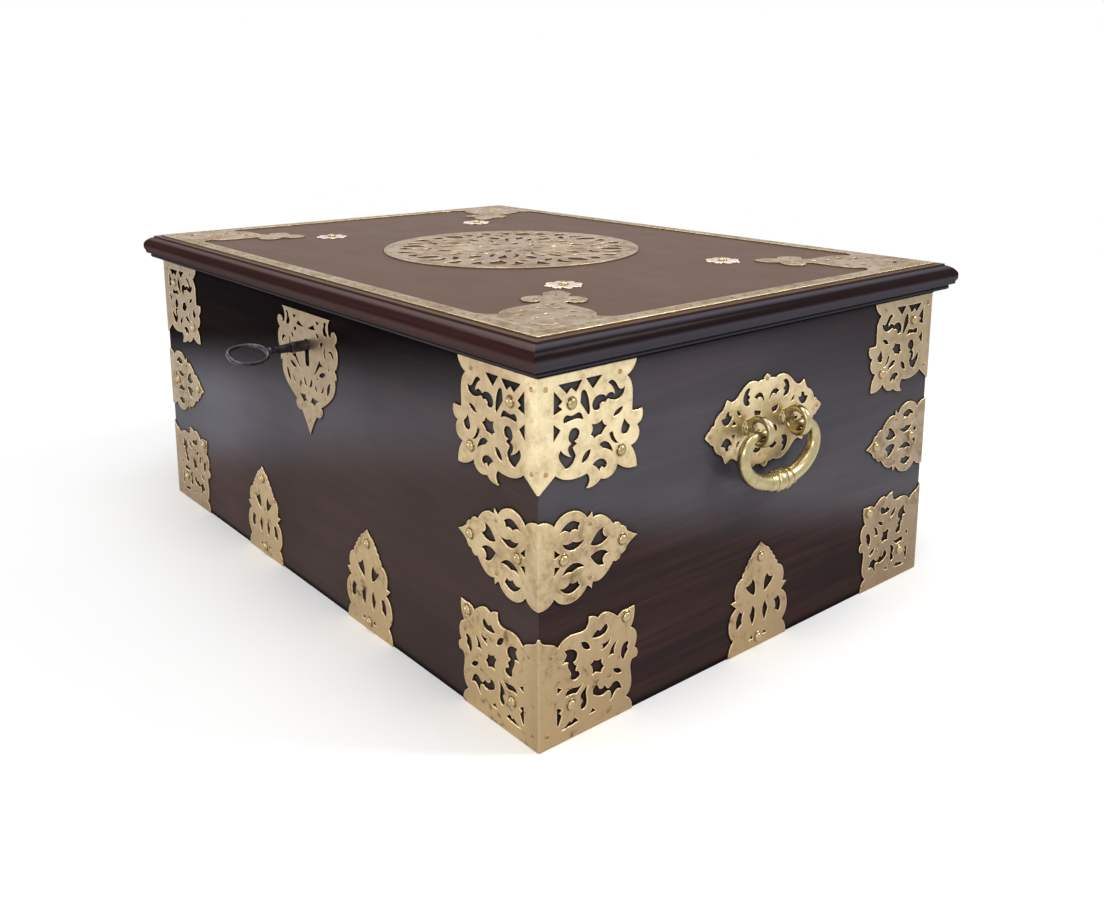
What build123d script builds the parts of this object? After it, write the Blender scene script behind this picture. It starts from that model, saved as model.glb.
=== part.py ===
from build123d import *
import os
from math import asin, cos, hypot, pi, radians, sin

# A low rectangular chest of lacquered boards, bound with pierced brass plates. The lid swings
# on two butt hinges at the back, a bail handle hangs on each end, and a key works the lock.
# +X runs along the chest, the front faces -Y and Z is up. The origin is the middle of the
# underside, and all sizes are millimetres.

# Case of mitred boards
case_length = 800
case_depth = 572
case_height = 340.3
board_thickness = 18
bottom_thickness = 12
rebate_width = 8
joint_gap = 0.2

# Lid
lid_thickness = 22.4
lid_overhang = 9
lid_moulding_width = 11
lid_moulding_height = 20.4
seat_gap = 0.3
rim_width = 13.3
rim_height = 10.3

# Sheet brass
plate_thickness = 1.6
bend_radius = 1.4
middle_bracket_share = 0.548
front_leaf_spread = 122.6
strip_width = 16
strip_overhang = 1
strip_pin_pitch = 18.5
rosette_x = 237
rosette_y = 119
rosette_radius = 20
rosette_valley_radius = 17.2
rosette_eyelet_reach = 13.2
rosette_eyelet_radius = 1.6
rosette_petals = 8
medallion_radius = 156
medallion_rim = 14
medallion_repeats = 8
medallion_rim_pins = 16

# Domed studs and flush pins, driven through the brass into the wood
stud_radius = 6
stud_height = 3.5
stud_rim = 0.6
stud_shank_radius = 1.5
stud_shank_length = 10
small_stud_radius = 5.5
pin_radius = 2
pin_depth = 6
pin_stand = 0.3
nail_gap = 0.1
pin_gap = 0.05

# Countersunk screws
screw_head_radius = 3.5
screw_head_height = 2
screw_head_rim = 0.3
screw_shank_radius = 1.75
screw_length = 13
screw_slot = 0.8
screw_gap = 0.1

# Butt hinges
hinge_spread = 250
hinge_width = 60
hinge_knuckles = 5
leaf_thickness = 2
leaf_reach = 14
knuckle_radius = 3.75
knuckle_gap = 0.3
knuckle_clearance = 0.4
hinge_pin_radius = 1.5
hinge_pin_gap = 0.05
hinge_screw_inset = 8
hinge_screw_pitch = 22
mortise_gap = 0.15

# End handles
handle_height = 238
eye_spread = 28
eye_drop = 1
eye_stand = 19.5
eye_ring_radius = 11.25
eye_wire_radius = 3.25
eye_collar_radius = 8.7
eye_collar_height = 2.6
eye_collar_chamfer = 0.8
eye_neck_radius = 4.5
eye_bolt_radius = 4
eye_bolt_gap = 0.1
nut_width = 13
nut_thickness = 4.5
nut_gap = 0.05
nut_pocket_radius = 8
nut_pocket_gap = 0.5
bail_end_radius = 4.7
bail_grip_radius = 9.25
bail_hang_gap = 0.3
bail_start = 19
bail_end = 34
bail_half_width = 54
bail_drop = 53
bail_shoulder_radius = 18
bail_side_radius = 33
bail_sections = 10
grip_ring_radius = 10.6
grip_ring_width = 2.6
grip_bead_radius = 10.2
grip_bead_width = 8.6

# Lock, measured across the front, up from the key's axis and in from the front face
key_offset = 8
key_drop = 54.3
keyhole_radius = 6.8
keyhole_slot_width = 10.5
keyhole_slot_depth = 24
lock_width = 100
lock_flange = 12
lock_plate_thickness = 2
lock_depth = 16
lock_wall = 2
lock_below_key = 30
lock_top_gap = 0.3
lock_screw_margin = 10
bolt_thickness = 5
bolt_bar_height = 6
bolt_bar_left = -39
bolt_bar_right = 43.5
bolt_guide_places = [-35, 35]
bolt_guide_width = 4
bolt_guide_gap = 0.1
bolt_centre_depth = 8
bolt_travel = 12
finger_height = 5.4
finger_length = 14
finger_post = 5
finger_start_gap = 1
tooth_width = 6
tooth_gap = 1.2
tooth_clear_of_key = 20
staple_places = [-26, 8]
staple_thickness = 3
staple_width = 8
staple_drop = 16
staple_wall = 3.4
staple_side_wall = 1
staple_gap = 0.6
staple_slot_gap = 1
staple_to_bar = 2.6
strike_margin = 18
strike_width = 12
strike_screw_margin = 7

# Key. Its profile is radius against distance out from the front face
key_turned = 67
key_lock_turn = 150
key_barrel_radius = 6
key_collar_radius = 7
key_lock_radius = 5.5
key_bearing_gap = 0.1
key_shoulder_gap = 0.5
key_tip_radius = 3
bit_reach = 22.5
bit_thickness = 4.5
bit_length = 10
bit_slot_gap = 0.5
bit_cut = 1.6
bit_cut_depth = 6
bow_start = 44.5
bow_length = 46.5
bow_width = 38
bow_wire_radius = 2.5
bow_end_radius = 12
key_profile = [[(key_barrel_radius, 1)], [(5.6, 12)], [(5.6, 15.4), (key_collar_radius, 16.6)],
               [(5.8, 17.8), (key_collar_radius, 19.2)], [(5.4, 20.6)], [(4.5, 22)], [(3.4, 34)],
               [(3.3, 41), (4.7, 43)], [(3.6, 46)]]

# Section of the moulding under the lid, from the case outward and from its top edge downward
rim_section = [[(0, -rim_height)], [(1.5, -rim_height)],
               [(3, 1.5 - rim_height), (6.6, 3.6 - rim_height)],
               [(rim_width - 1.4, -6), (rim_width, -3.3)], [(rim_width - 0.3, -2.3)],
               [(rim_width - 0.3, 0)], [(0, 0)]]
# Section of the lid's own moulding, from the lid panel outward and up from its underside
lid_section = [[(0, 0)], [(lid_moulding_width - 2, 0)], [(lid_moulding_width - 2, 2.4)],
               [(lid_moulding_width - 1.1, 4.2), (lid_moulding_width, 11.4),
                (lid_moulding_width - 3, lid_moulding_height - 4.1),
                (lid_moulding_width - 6.2, lid_moulding_height - 1.6)],
               [(1.3, lid_moulding_height)], [(0, lid_moulding_height)]]

# Pierced work. Each loop is a list of stretches. A stretch opens with a corner and goes on
# through its smooth points to the next stretch's corner, so one point alone is a straight edge.

# Upper corner bracket: in from the case's corner, and up from its own top edge
upper_edge = [
    [(0, 0)], [(108, 0)], [(108, -1.5), (104.5, -8)], [(97, -13.5), (102.5, -21), (104, -32)],
    [(104, -46), (109.5, -46.5)], [(115.5, -46), (116.5, -53)], [(109.5, -59.5), (112.5, -68)],
    [(102.5, -77), (107.5, -85)], [(110, -97.5), (98, -96.5)], [(87, -90), (79, -99.5)],
    [(67.5, -99), (60, -103.5)], [(51, -104), (55, -99)], [(51.5, -91), (38, -92.5), (25, -90)],
    [(17, -85), (8, -92)], [(0, -98)]
]
upper_holes = [
    [[(20, -8.5)], [(47, -8.5)], [(39.5, -18)], [(34, -13.5)], [(29.5, -18)]],
    [[(50, -8)], [(69, -8)], [(58, -18.5)]],
    [[(15.5, -13)], [(25, -23.5)], [(20.5, -26.5)], [(25, -30)], [(15, -33.5)]],
    [[(45, -19), (48, -17.5), (51, -20)], [(52, -39), (47, -32)], [(44, -28)]],
    [[(27, -42.5), (25.5, -39), (28, -36), (34, -37.2), (40, -36)],
     [(48, -43.5), (40, -41), (33, -41.5)]],
    [[(15, -41)], [(23, -47.5)], [(15, -56.5)]],
    [[(75, -16.5), (79.5, -14.5), (85, -18.5), (88.5, -23.5)],
     [(95, -22.5), (93.5, -28.5), (87.5, -32.5), (80, -32)], [(75, -30)],
     [(72, -33.5), (69, -32)],
     [(66.5, -36.5), (62, -38), (58, -35.5), (57.5, -31), (60.5, -26.5), (67, -25)],
     [(73, -27.5), (77.5, -25)], [(83, -27.5), (80.5, -21)]],
    [[(31.5, -58), (31.5, -53), (35, -48.5), (40.5, -49), (43.5, -53), (42, -57.5)],
     [(37.5, -59.5)], [(41, -62.5)], [(36, -65)], [(39.5, -72), (36.5, -78.5)],
     [(28, -82), (24, -76.5), (20.5, -70)], [(23, -64.5), (27, -69)],
     [(34, -72.5), (31.5, -69), (30.5, -65)], [(34, -61.5)]],
    [[(56.5, -48.5), (61, -49.7), (65, -49)], [(69.5, -47), (70.7, -51.2)],
     [(75, -53.5), (71, -56.5)], [(68.5, -60.5), (64, -60.5)], [(59.5, -62.5), (58.5, -60)],
     [(54.5, -59), (57.5, -55)]],
    [[(81, -47), (86, -41.5)], [(93.5, -40.5), (88.5, -45.5)]],
    [[(95, -51), (91.5, -58), (91.5, -63.5), (95.5, -65.5), (99.5, -63.5)],
     [(101.5, -58.5), (98.5, -56)]],
    [[(77, -60.5)], [(81.5, -60), (84, -67)], [(89, -72.5), (82.5, -70)]],
    [[(65.5, -68.5), (72.5, -67), (79, -72)], [(82, -79), (75, -74.5)], [(69.5, -72.5)]],
    [[(46, -81), (48, -74)], [(56, -70.5), (53, -78)]],
    [[(58, -85), (64, -81.5), (71.5, -83), (75, -88)], [(72, -91)], [(68.5, -88.5)],
     [(66, -92.5), (62.5, -88)]],
]
upper_studs = [(34.5, -26.5), (91, -79)]
upper_pins = [(7, -10.5), (7, -82), (89, -9)]

# Middle corner bracket, upper half: in from the case's corner, and up from its middle line
middle_edge = [
    [(0, 38.5), (8, 37.5)], [(16, 31.5), (22, 38), (32, 41), (42, 39.5)],
    [(52.5, 30.5), (55, 32)], [(58, 35), (58.3, 31.5)], [(59, 29), (68, 29.5), (77, 24)],
    [(83, 17), (88.5, 17.5)], [(92, 13), (96, 12)], [(99, 7.5), (104.5, 3.5)], [(112, 0)]
]
middle_holes = [
    [[(21, 24), (27, 30), (34, 32.5), (40, 31)], [(45, 28), (42.8, 25)], [(42.5, 22), (37, 24)],
     [(33, 22), (27, 25.5)]],
    [[(24, 15), (30, 13)], [(36, 14), (43, 11.8)], [(51, 13), (46, 9), (38, 6), (30, 8)]],
    [[(15.5, 12)], [(23, 5.5)], [(16, 3.5)]],
    [[(56, 5.5), (61, 12), (66, 16)], [(73, 17), (71, 13), (72, 10)], [(78, 8), (70, 3)]],
]
middle_studs = [(26, 0), (94, 0)]
middle_pins = [(56, 24.5)]

# Lower corner bracket: in from the case's corner, and up from the floor
lower_edge = [
    [(0, 105), (3, 100), (9, 97), (15, 94.5)], [(20, 90), (28, 96), (38, 97.3), (47, 96.3)],
    [(52, 97.5), (54.5, 101)], [(55, 107.5), (60.5, 106.5)], [(66, 103), (74, 105.8), (83, 102)],
    [(90, 96.5), (94, 99.5)], [(101, 100)], [(109.5, 101), (109.5, 91)],
    [(105, 81), (110.5, 77.5), (113, 70)], [(110, 60), (114.5, 55)], [(113, 50)],
    [(107.5, 49.5), (105.5, 43), (107, 31), (105, 20)], [(99.5, 15), (106, 10)], [(108, 0)],
    [(0, 0)]
]
lower_holes = [
    [[(18.5, 35)], [(25, 31)], [(21.5, 28.5)], [(24.5, 25.5)], [(20.5, 17)], [(18.5, 18)]],
    [[(22, 12), (29, 14.5)], [(33.5, 18)], [(34.8, 15.2)], [(38.5, 18.5)], [(44, 13.5), (33, 12)]],
    [[(56, 14.5)], [(60, 19.5)], [(64, 15)]],
    [[(55, 43), (52.5, 36), (53.2, 28), (51, 23), (47, 23), (45.8, 27), (48, 31), (45.5, 35), (48, 40)]],
    [[(28.5, 41.5), (29.5, 46), (34, 47.5), (41, 46.5)], [(49.5, 48), (45.5, 44)],
     [(41, 40.5), (35, 41.8)]],
    [[(19, 54)], [(25, 50.5)], [(19, 47.5)]],
    [[(34.2, 58), (36.5, 54.8), (41, 54.2), (45, 57), (43.5, 60.5)], [(40, 62), (40.5, 64.5)],
     [(42.5, 66.5), (38.5, 69)], [(37.5, 71), (41.5, 74), (42, 78), (38.5, 82.5), (33, 85)],
     [(27, 85)], [(29.5, 81), (27.5, 77)], [(24, 73), (28, 73.8)],
     [(31.5, 73), (31, 69), (33.5, 64)]],
    [[(46, 87), (53, 84.5)], [(57, 77), (50.5, 79)]],
    [[(58, 87), (61, 89.5)], [(65, 92.5)],
     [(68, 90.5), (71, 92.5), (75, 94.5), (77.7, 91), (76, 87), (71, 84.8), (64, 85)]],
    [[(68, 71), (71.5, 74)], [(70, 77), (76, 77)], [(81, 80), (79, 75), (74, 71.8)]],
    [[(79, 61), (80.5, 67), (84.5, 72)], [(90, 73.5), (86, 68)], [(86, 61.5), (82.7, 62.7)]],
    [[(97.5, 52), (94, 57), (94, 62.5), (97, 68), (101, 69)], [(104, 66), (102, 63)],
     [(103, 60), (100, 57)]],
    [[(84, 48), (91, 46.5)], [(95.5, 41), (88, 42.5)]],
    [[(61, 31.5), (59.8, 35), (62, 39), (66, 39), (68, 35), (71, 34)], [(74, 36.5)],
     [(77.5, 31.5), (80.5, 31.5), (85, 34.8), (90, 34), (93.5, 30)],
     [(95.5, 24), (91.5, 26), (88, 25), (84.5, 21)], [(80, 18), (82, 23), (81, 27.5)],
     [(77, 28.5), (72, 27), (66, 28.5)]],
    [[(56, 62.5), (59, 63)], [(61, 65), (66, 63)], [(71.5, 63.5), (71, 58)],
     [(74.5, 54.5), (71.3, 52.7)], [(70, 49.5), (64, 51.8)], [(59, 51), (59.5, 57)]],
]
lower_studs = [(35, 32), (100, 93)]
lower_pins = [(12, 84), (80, 43), (8, 12)]

# Leaf mount, right half: from its stem, and up from the floor
leaf_edge = [
    [(0, 112), (5, 107.5)], [(9.5, 104.5), (12.5, 102.5)], [(14, 99), (17.2, 97)],
    [(18.5, 93), (21.8, 91)], [(22.8, 87), (26, 85)],
    [(27, 80.5), (33.5, 77.5), (37.3, 70), (37.2, 63)], [(36, 59), (38.5, 58.8)],
    [(42.5, 58), (38.5, 54.5)], [(34, 51), (41, 45.5), (44.7, 36), (43.5, 25)],
    [(37.5, 17), (42.5, 10)], [(44.5, 0)]
]
leaf_holes = [
    [[(11, 76.5), (7.3, 70), (6.2, 63)], [(7.5, 57), (15, 61.5)], [(22.5, 70.5), (17, 70.3)],
     [(13.5, 72.5)]],
    [[(10.5, 47.5), (6, 41), (6, 33)], [(9.5, 25), (12.3, 31)], [(14.5, 37.5), (12, 41.5)]],
    [[(30, 46), (26.5, 43.8)], [(22.5, 44), (25.5, 39)], [(25.5, 31.5), (28.5, 30)],
     [(32, 26.5), (35, 33), (33.5, 41)]],
    [[(7, 10)], [(9.5, 14.5)], [(14.5, 10)]],
]
leaf_studs = [(0, 96.5), (0, 9.5)]

# Handle plate, one quarter, about its centre
handle_edge = [
    [(0, 47), (4, 44.5)], [(5, 42), (9, 42.2)],
    [(13, 41), (22, 43.3), (31, 41), (39, 35), (46, 29.3)], [(52.5, 28), (55, 29.8)],
    [(58.5, 31), (60.5, 26.5)], [(64, 21.5), (71, 17.5)], [(75, 9.5), (78, 8.8)],
    [(81, 5.5), (84, 3.8)], [(87.5, 0)]
]
handle_holes = [
    [[(49.5, 16), (52.5, 14.5)], [(53.5, 18.5), (57, 19)], [(59.5, 14.5), (62, 14)],
     [(65.5, 13.5), (63, 8.5), (58.5, 6), (53.5, 8)]],
    [[(37.5, 12.5), (42, 13.5)], [(43.5, 18.5), (40, 16.5)]],
    [[(24.5, 36.5), (30, 36.8), (34, 32.5), (35.2, 26.5), (32, 21), (26, 20)], [(27.5, 25.5)],
     [(24.5, 28)], [(28, 31)]],
    [[(3.5, 18.5), (4.6, 25), (9.5, 30), (15.5, 29.5)], [(19, 26.5), (15.7, 24.8)],
     [(14, 21.5), (12.8, 25), (9.5, 25.5), (6.2, 22.6)]],
    [[(8, 11.5), (12, 12.5)], [(18, 13.5), (16.5, 8)], [(12, 6.5), (9, 7.5)]],
    [[(47.5, 10)], [(50.5, 4.5)], [(43.5, 4.5)]],
]
handle_pins = [(0, 42.5), (81, 0)]

# Escutcheon, right half, about the key's axis
escutcheon_edge = [
    [(54, 36), (50, 31.5), (48.5, 25), (50, 19.5)],
    [(56, 17.5), (58, 23.5), (63, 24), (66.8, 19), (65, 13.5)],
    [(61, 10.5), (66.8, 3), (67, -6), (64, -13.5)], [(59.5, -17.5), (62.5, -22)],
    [(62.5, -28), (60, -26.5)], [(58.5, -27), (59.5, -36), (55, -45.5), (46, -53.5), (36, -60)],
    [(27, -65), (29.5, -71), (24, -76.3)], [(17, -76), (9, -86)], [(0, -100)]
]
escutcheon_holes = [
    [[(46.5, 31), (42, 31.5)], [(39.5, 26), (37, 21)], [(42, 17), (46, 16.8)],
     [(47.5, 18.5), (44.5, 24)]],
    [[(31, 29.5)], [(21, 30)], [(26.5, 25)]],
    [[(22, 20)], [(17.5, 25), (11, 22)], [(3.5, 19.5), (12, 19)]],
    [[(29, 13.5), (25, 16.5)], [(22, 15.5), (25.5, 11.8)]],
    [[(36.5, 8.5), (33, 9)], [(29.5, 3.5), (34, 4.5)]],
    [[(57.5, -7), (59, -2), (55, 2.5), (50, 2)], [(48, 0), (53, -0.5), (55.5, -3.5)]],
    [[(42.5, 4.5), (38, 0), (38.2, -6.5)], [(42.5, -9.5), (41.2, -3)]],
    [[(48.8, -16.5)], [(45.5, -19)], [(48.5, -21.5)]],
    [[(37, -17), (31, -15)], [(28, -11), (20.8, -21)], [(13.5, -32), (21.5, -25.5)], [(28.5, -19)]],
    [[(41, -24.5), (32, -24.7)], [(25, -29.5), (34, -29.7)]],
    [[(23.5, -32.5), (20.5, -33.2)], [(20, -34.5), (22.5, -34.2)]],
    [[(49.5, -32), (48.7, -41)], [(41, -48.5), (42.2, -40)]],
    [[(34, -37.5), (31.5, -43)], [(28, -47.5), (34, -45)]],
    [[(19, -42.7), (15.5, -43)], [(14.5, -45), (17, -48)], [(21, -51), (19.5, -47)]],
    [[(9, -35.5), (5, -41)], [(2.5, -47), (7.5, -45)]],
    [[(25.5, -57.5), (15, -57.8)], [(6.5, -56), (6, -60)], [(2, -63.5), (7, -63.7)],
     [(12.5, -66.5), (17, -61.5)]],
]
escutcheon_pins = [(0, -53.5), (0, -84), (36, -52.5)]

# Lid corner ornament, right half: across the lid's diagonal, and along it from the border
corner_edge = [
    [(0, 175.5), (6, 172.5)], [(8, 167.5), (13, 162.5), (12.5, 154.5)],
    [(10.5, 148.5), (20, 148), (29, 141.5), (31, 132), (26.5, 123.5), (19, 121)], [(14.5, 124.5)],
    [(11, 121.5), (12, 114.5), (19, 105.5), (28.5, 95.5), (37, 85), (42, 73.5)],
    [(42, 62.5), (53, 60.5)], [(65, 65)], [(0, 0)]
]
corner_holes = [
    [[(17.5, 137), (21.5, 133.5), (17.5, 130), (14, 133.5)]],
    [[(4, 94), (9.5, 94)], [(13, 87.5), (7, 89)]],
    [[(16.5, 80), (23, 81)], [(26.5, 75), (20, 75.5)]],
    [[(16, 60), (22, 62.5)], [(27.5, 56.5), (20, 57)]],
    [[(5, 48), (9.5, 48.5)], [(11.5, 43.5), (7, 44)]],
]
corner_centre_holes = [
    [[(0, 158.5)], [(3, 150.5)], [(-3, 150.5)]],
    [[(0, 139)], [(2, 133.5)], [(-2, 133.5)]],
    [[(0, 114.5), (3, 108.5)], [(6.5, 104.5), (0, 106.5)], [(-6.5, 104.5), (-3, 108.5)]],
    [[(0, 69)], [(3.5, 65.5)], [(0, 62)], [(-3.5, 65.5)]],
    [[(13, 31.5), (0, 22.5)], [(-13, 31.5), (0, 18)]],
]
corner_pins = [(0, 12), (40, 55), (0, 96)]

# Lid medallion, one repeat: across a spoke, and out from the centre
spoke_holes = [
    [[(0, 41), (4.5, 35), (4, 29)], [(0, 22), (-4, 29), (-4.5, 35)]],
    [[(0, 96), (5, 88), (4.5, 78)], [(0, 64), (-4.5, 78), (-5, 88)]],
    [[(0, 137), (9, 130), (10, 120), (6, 112)], [(0, 104), (-6, 112), (-10, 120), (-9, 130)]],
]
paired_holes = [
    [[(5, 47), (14, 55), (17.5, 68)], [(15.5, 82), (10.5, 75)], [(13, 68), (11, 59)]],
    [[(12, 99), (21, 96), (31, 101)], [(38, 113), (32.5, 110.5)], [(27, 111), (22, 103)]],
    [[(15, 110), (24, 115), (30, 124)], [(27, 133), (20, 136), (14, 133)], [(18, 127), (19, 119)]],
]
between_holes = [
    [[(0, 50)], [(4.5, 61), (0, 59)], [(-4.5, 61)]],
    [[(0, 98), (6.5, 88), (5, 78)], [(0, 73), (-5, 78), (-6.5, 88)]],
    [[(-9, 138), (0, 141)], [(9, 138), (6, 128)], [(0, 113), (-6, 128)]],
]

# Heights and half sizes that the pieces share
half_length = case_length / 2
half_depth = case_depth / 2
bracket_top = case_height - rim_height
lid_bottom = case_height + seat_gap
lid_top = lid_bottom + lid_thickness
key_height = case_height - key_drop
lower_bracket_top = max(y for stretch in lower_edge for _, y in stretch)
upper_bracket_bottom = bracket_top + min(y for stretch in upper_edge for _, y in stretch)
middle_bracket_reach = max(y for stretch in middle_edge for _, y in stretch)
free_height = upper_bracket_bottom - lower_bracket_top - 2 * middle_bracket_reach
middle_bracket_height = (lower_bracket_top + middle_bracket_reach
                         + middle_bracket_share * free_height)
os.makedirs("parts", exist_ok=True)


def marked(loop):
    return [(point, place == 0) for stretch in loop for place, point in enumerate(stretch)]


def closed_wire(points):
    """A closed wire through marked points: straight, arc or spline from corner to corner."""
    first = [is_corner for _, is_corner in points].index(True)
    points = points[first:] + points[:first + 1]
    edges = []
    run = [points[0][0]]
    for point, is_corner in points[1:]:
        run.append(point)
        if not is_corner:
            continue
        if len(run) == 2:
            edges.append(Line(*run))
        elif len(run) == 3:
            edges.append(ThreePointArc(*run))
        else:
            edges.append(Spline(run))
        run = [point]
    return Wire(edges)


def moved(points, dx=0, dy=0, flip_x=1, flip_y=1):
    return [((flip_x * x + dx, flip_y * y + dy), is_corner) for (x, y), is_corner in points]


def with_mirror(points, axis):
    """Half an outline, from one crossing of its mirror line to the other, made whole."""
    other = [((-x, y) if axis == 0 else (x, -y), is_corner)
             for (x, y), is_corner in reversed(points) if (x, y)[axis] != 0]
    return points + other


def round_wire(x, y, radius):
    return Wire([Edge.make_circle(radius, Plane((x, y)))])


def sheet(face_plane, outline, openings, rounds, thickness=plate_thickness):
    """A pierced plate on a face: marked loops, and (x, y, radius) for each round hole."""
    inner = [closed_wire(loop) for loop in openings] + [round_wire(*spot) for spot in rounds]
    shape = face_plane * Face(closed_wire(outline), inner)
    return extrude(shape, thickness, dir=face_plane.z_dir)


def place(plane, x, y):
    """Where a nail or screw enters a face: +Z of the result points out of the wood."""
    return plane.location * Pos(x, y, 0)


def copies(shape, places):
    return [spot * shape for spot in places]


def save(name, *shapes):
    solids = [solid for shape in shapes for solid in shape.solids()]
    whole = solids[0] if len(solids) == 1 else Compound(solids)
    whole.label = name
    export_step(whole, f"parts/{name}.step")


# Each upright side has its own plane: x to the right as seen from outside, y up, z outward
front = Plane((0, -half_depth, 0), x_dir=(1, 0, 0), z_dir=(0, -1, 0))
right = Plane((half_length, 0, 0), x_dir=(0, 1, 0), z_dir=(1, 0, 0))
back = Plane((0, half_depth, 0), x_dir=(-1, 0, 0), z_dir=(0, 1, 0))
left = Plane((-half_length, 0, 0), x_dir=(0, -1, 0), z_dir=(-1, 0, 0))
sides = {"front": front, "right": right, "back": back, "left": left}
half_run = {"front": half_length, "right": half_depth, "back": half_length, "left": half_depth}
lid_face = Plane((0, 0, lid_top))


# --- Nails and screws ------------------------------------------------------------------------

def stud(radius):
    """A domed nail, its head on the brass and its shank in the wood."""
    seat = plate_thickness
    rise = stud_height - stud_rim
    dome = (radius ** 2 + rise ** 2) / (2 * rise)
    crown = seat + stud_height
    lean = asin(radius / dome) / 2
    outline = [[(0, -stud_shank_length)], [(stud_shank_radius, -stud_shank_length)],
               [(stud_shank_radius, seat)], [(radius, seat)],
               [(radius, seat + stud_rim), (dome * sin(lean), crown - dome * (1 - cos(lean)))],
               [(0, crown)]]
    return revolve(Plane.XZ * Face(closed_wire(marked(outline))), Axis.Z)


def drilled(radius, depth):
    return Pos(0, 0, -depth / 2) * Cylinder(radius, depth)


big_stud = stud(stud_radius)
small_stud = stud(small_stud_radius)
stud_hole_radius = stud_shank_radius + nail_gap
stud_hole = drilled(stud_hole_radius, stud_shank_length + nail_gap)
pin_length = pin_depth + plate_thickness + pin_stand
pin = Pos(0, 0, pin_length / 2 - pin_depth) * Cylinder(pin_radius, pin_length)
pin_hole_radius = pin_radius + pin_gap
pin_hole = drilled(pin_hole_radius, pin_depth + nail_gap)


def screw_shape(gap):
    """A countersunk screw, its head's top at z 0 and its point downward."""
    head = screw_head_radius + gap
    shank = screw_shank_radius + gap
    outline = [[(0, gap)], [(head, gap)], [(head, -screw_head_rim)], [(shank, -screw_head_height)],
               [(shank, -screw_length - gap)], [(0, -screw_length - gap)]]
    return revolve(Plane.XZ * Face(closed_wire(marked(outline))), Axis.Z)


screw = screw_shape(0) - Box(2 * screw_head_radius, screw_slot, 2 * screw_slot)
screw_hole = screw_shape(screw_gap)
case_studs = {side: [] for side in sides}
case_pins = {side: [] for side in sides}


# --- Pierced plates on the case --------------------------------------------------------------

def plate_rounds(studs, pins):
    return ([(x, y, stud_hole_radius) for x, y in studs]
            + [(x, y, pin_hole_radius) for x, y in pins])


def note_nails(side, studs, pins):
    case_studs[side] += [place(sides[side], x, y) for x, y in studs]
    case_pins[side] += [place(sides[side], x, y) for x, y in pins]


def bracket_wing(side, hand, wrap, outline, openings, studs, pins, height):
    """One wing of a corner bracket. Hand 1 is the side's right end, and -1 its left end."""
    corner = hand * half_run[side]

    def on_side(points):
        return [(corner - hand * x, y + height) for x, y in points]

    def loop_on_side(loop):
        return moved(loop, corner, height, -hand)

    outer = list(outline)
    if wrap:
        outer += [((-wrap, outline[-1][0][1]), True), ((-wrap, outline[0][0][1]), True)]
    note_nails(side, on_side(studs), on_side(pins))
    return sheet(sides[side], loop_on_side(outer), [loop_on_side(loop) for loop in openings],
                 plate_rounds(on_side(studs), on_side(pins)))


def corner_bracket(name, side, next_side, *pattern):
    """Two wings bent round one corner of the case."""
    wing = bracket_wing(side, 1, plate_thickness, *pattern)
    bracket = wing + bracket_wing(next_side, -1, 0, *pattern)
    bend = [edge for edge in bracket.edges().filter_by(Axis.Z)
            if abs(edge.center().X) > half_length + plate_thickness / 2
            and abs(edge.center().Y) > half_depth + plate_thickness / 2]
    save(name, fillet(bend, bend_radius))


upper_pattern = (marked(upper_edge), [marked(loop) for loop in upper_holes],
                 upper_studs, upper_pins, bracket_top)
lower_pattern = (marked(lower_edge), [marked(loop) for loop in lower_holes],
                 lower_studs, lower_pins, 0)
half_middle = [marked(loop) for loop in middle_holes]
middle_pattern = (with_mirror(marked(middle_edge), 1),
                  half_middle + [moved(loop, flip_y=-1) for loop in half_middle],
                  middle_studs, middle_pins + [(x, -y) for x, y in middle_pins],
                  middle_bracket_height)
corners = {"front_right": ("front", "right"), "back_right": ("right", "back"),
           "back_left": ("back", "left"), "front_left": ("left", "front")}
for corner, (side, next_side) in corners.items():
    corner_bracket(f"upper_bracket_{corner}", side, next_side, *upper_pattern)
    corner_bracket(f"middle_bracket_{corner}", side, next_side, *middle_pattern)
    corner_bracket(f"lower_bracket_{corner}", side, next_side, *lower_pattern)


def side_plate(side, x, y, outline, openings, studs, pins, extra_rounds=()):
    """A flat pierced plate on one side of the case, its pattern centred at x, y."""
    studs = [(x + dx, y + dy) for dx, dy in studs]
    pins = [(x + dx, y + dy) for dx, dy in pins]
    note_nails(side, studs, pins)
    rounds = plate_rounds(studs, pins) + [(x + dx, y + dy, r) for dx, dy, r in extra_rounds]
    return sheet(sides[side], moved(outline, x, y), [moved(loop, x, y) for loop in openings], rounds)


def left_and_right(loops):
    loops = [marked(loop) for loop in loops]
    return loops + [moved(loop, flip_x=-1) for loop in loops]


def four_ways(loops):
    pair = left_and_right(loops)
    return pair + [moved(loop, flip_y=-1) for loop in pair]


leaf_outline = with_mirror(marked(leaf_edge), 0)
leaf_places = {"leaf_mount_front_left": ("front", -front_leaf_spread),
               "leaf_mount_front_right": ("front", front_leaf_spread),
               "leaf_mount_right": ("right", 0), "leaf_mount_left": ("left", 0)}
for name, (side, x) in leaf_places.items():
    save(name, side_plate(side, x, 0, leaf_outline, left_and_right(leaf_holes), leaf_studs, []))

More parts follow.
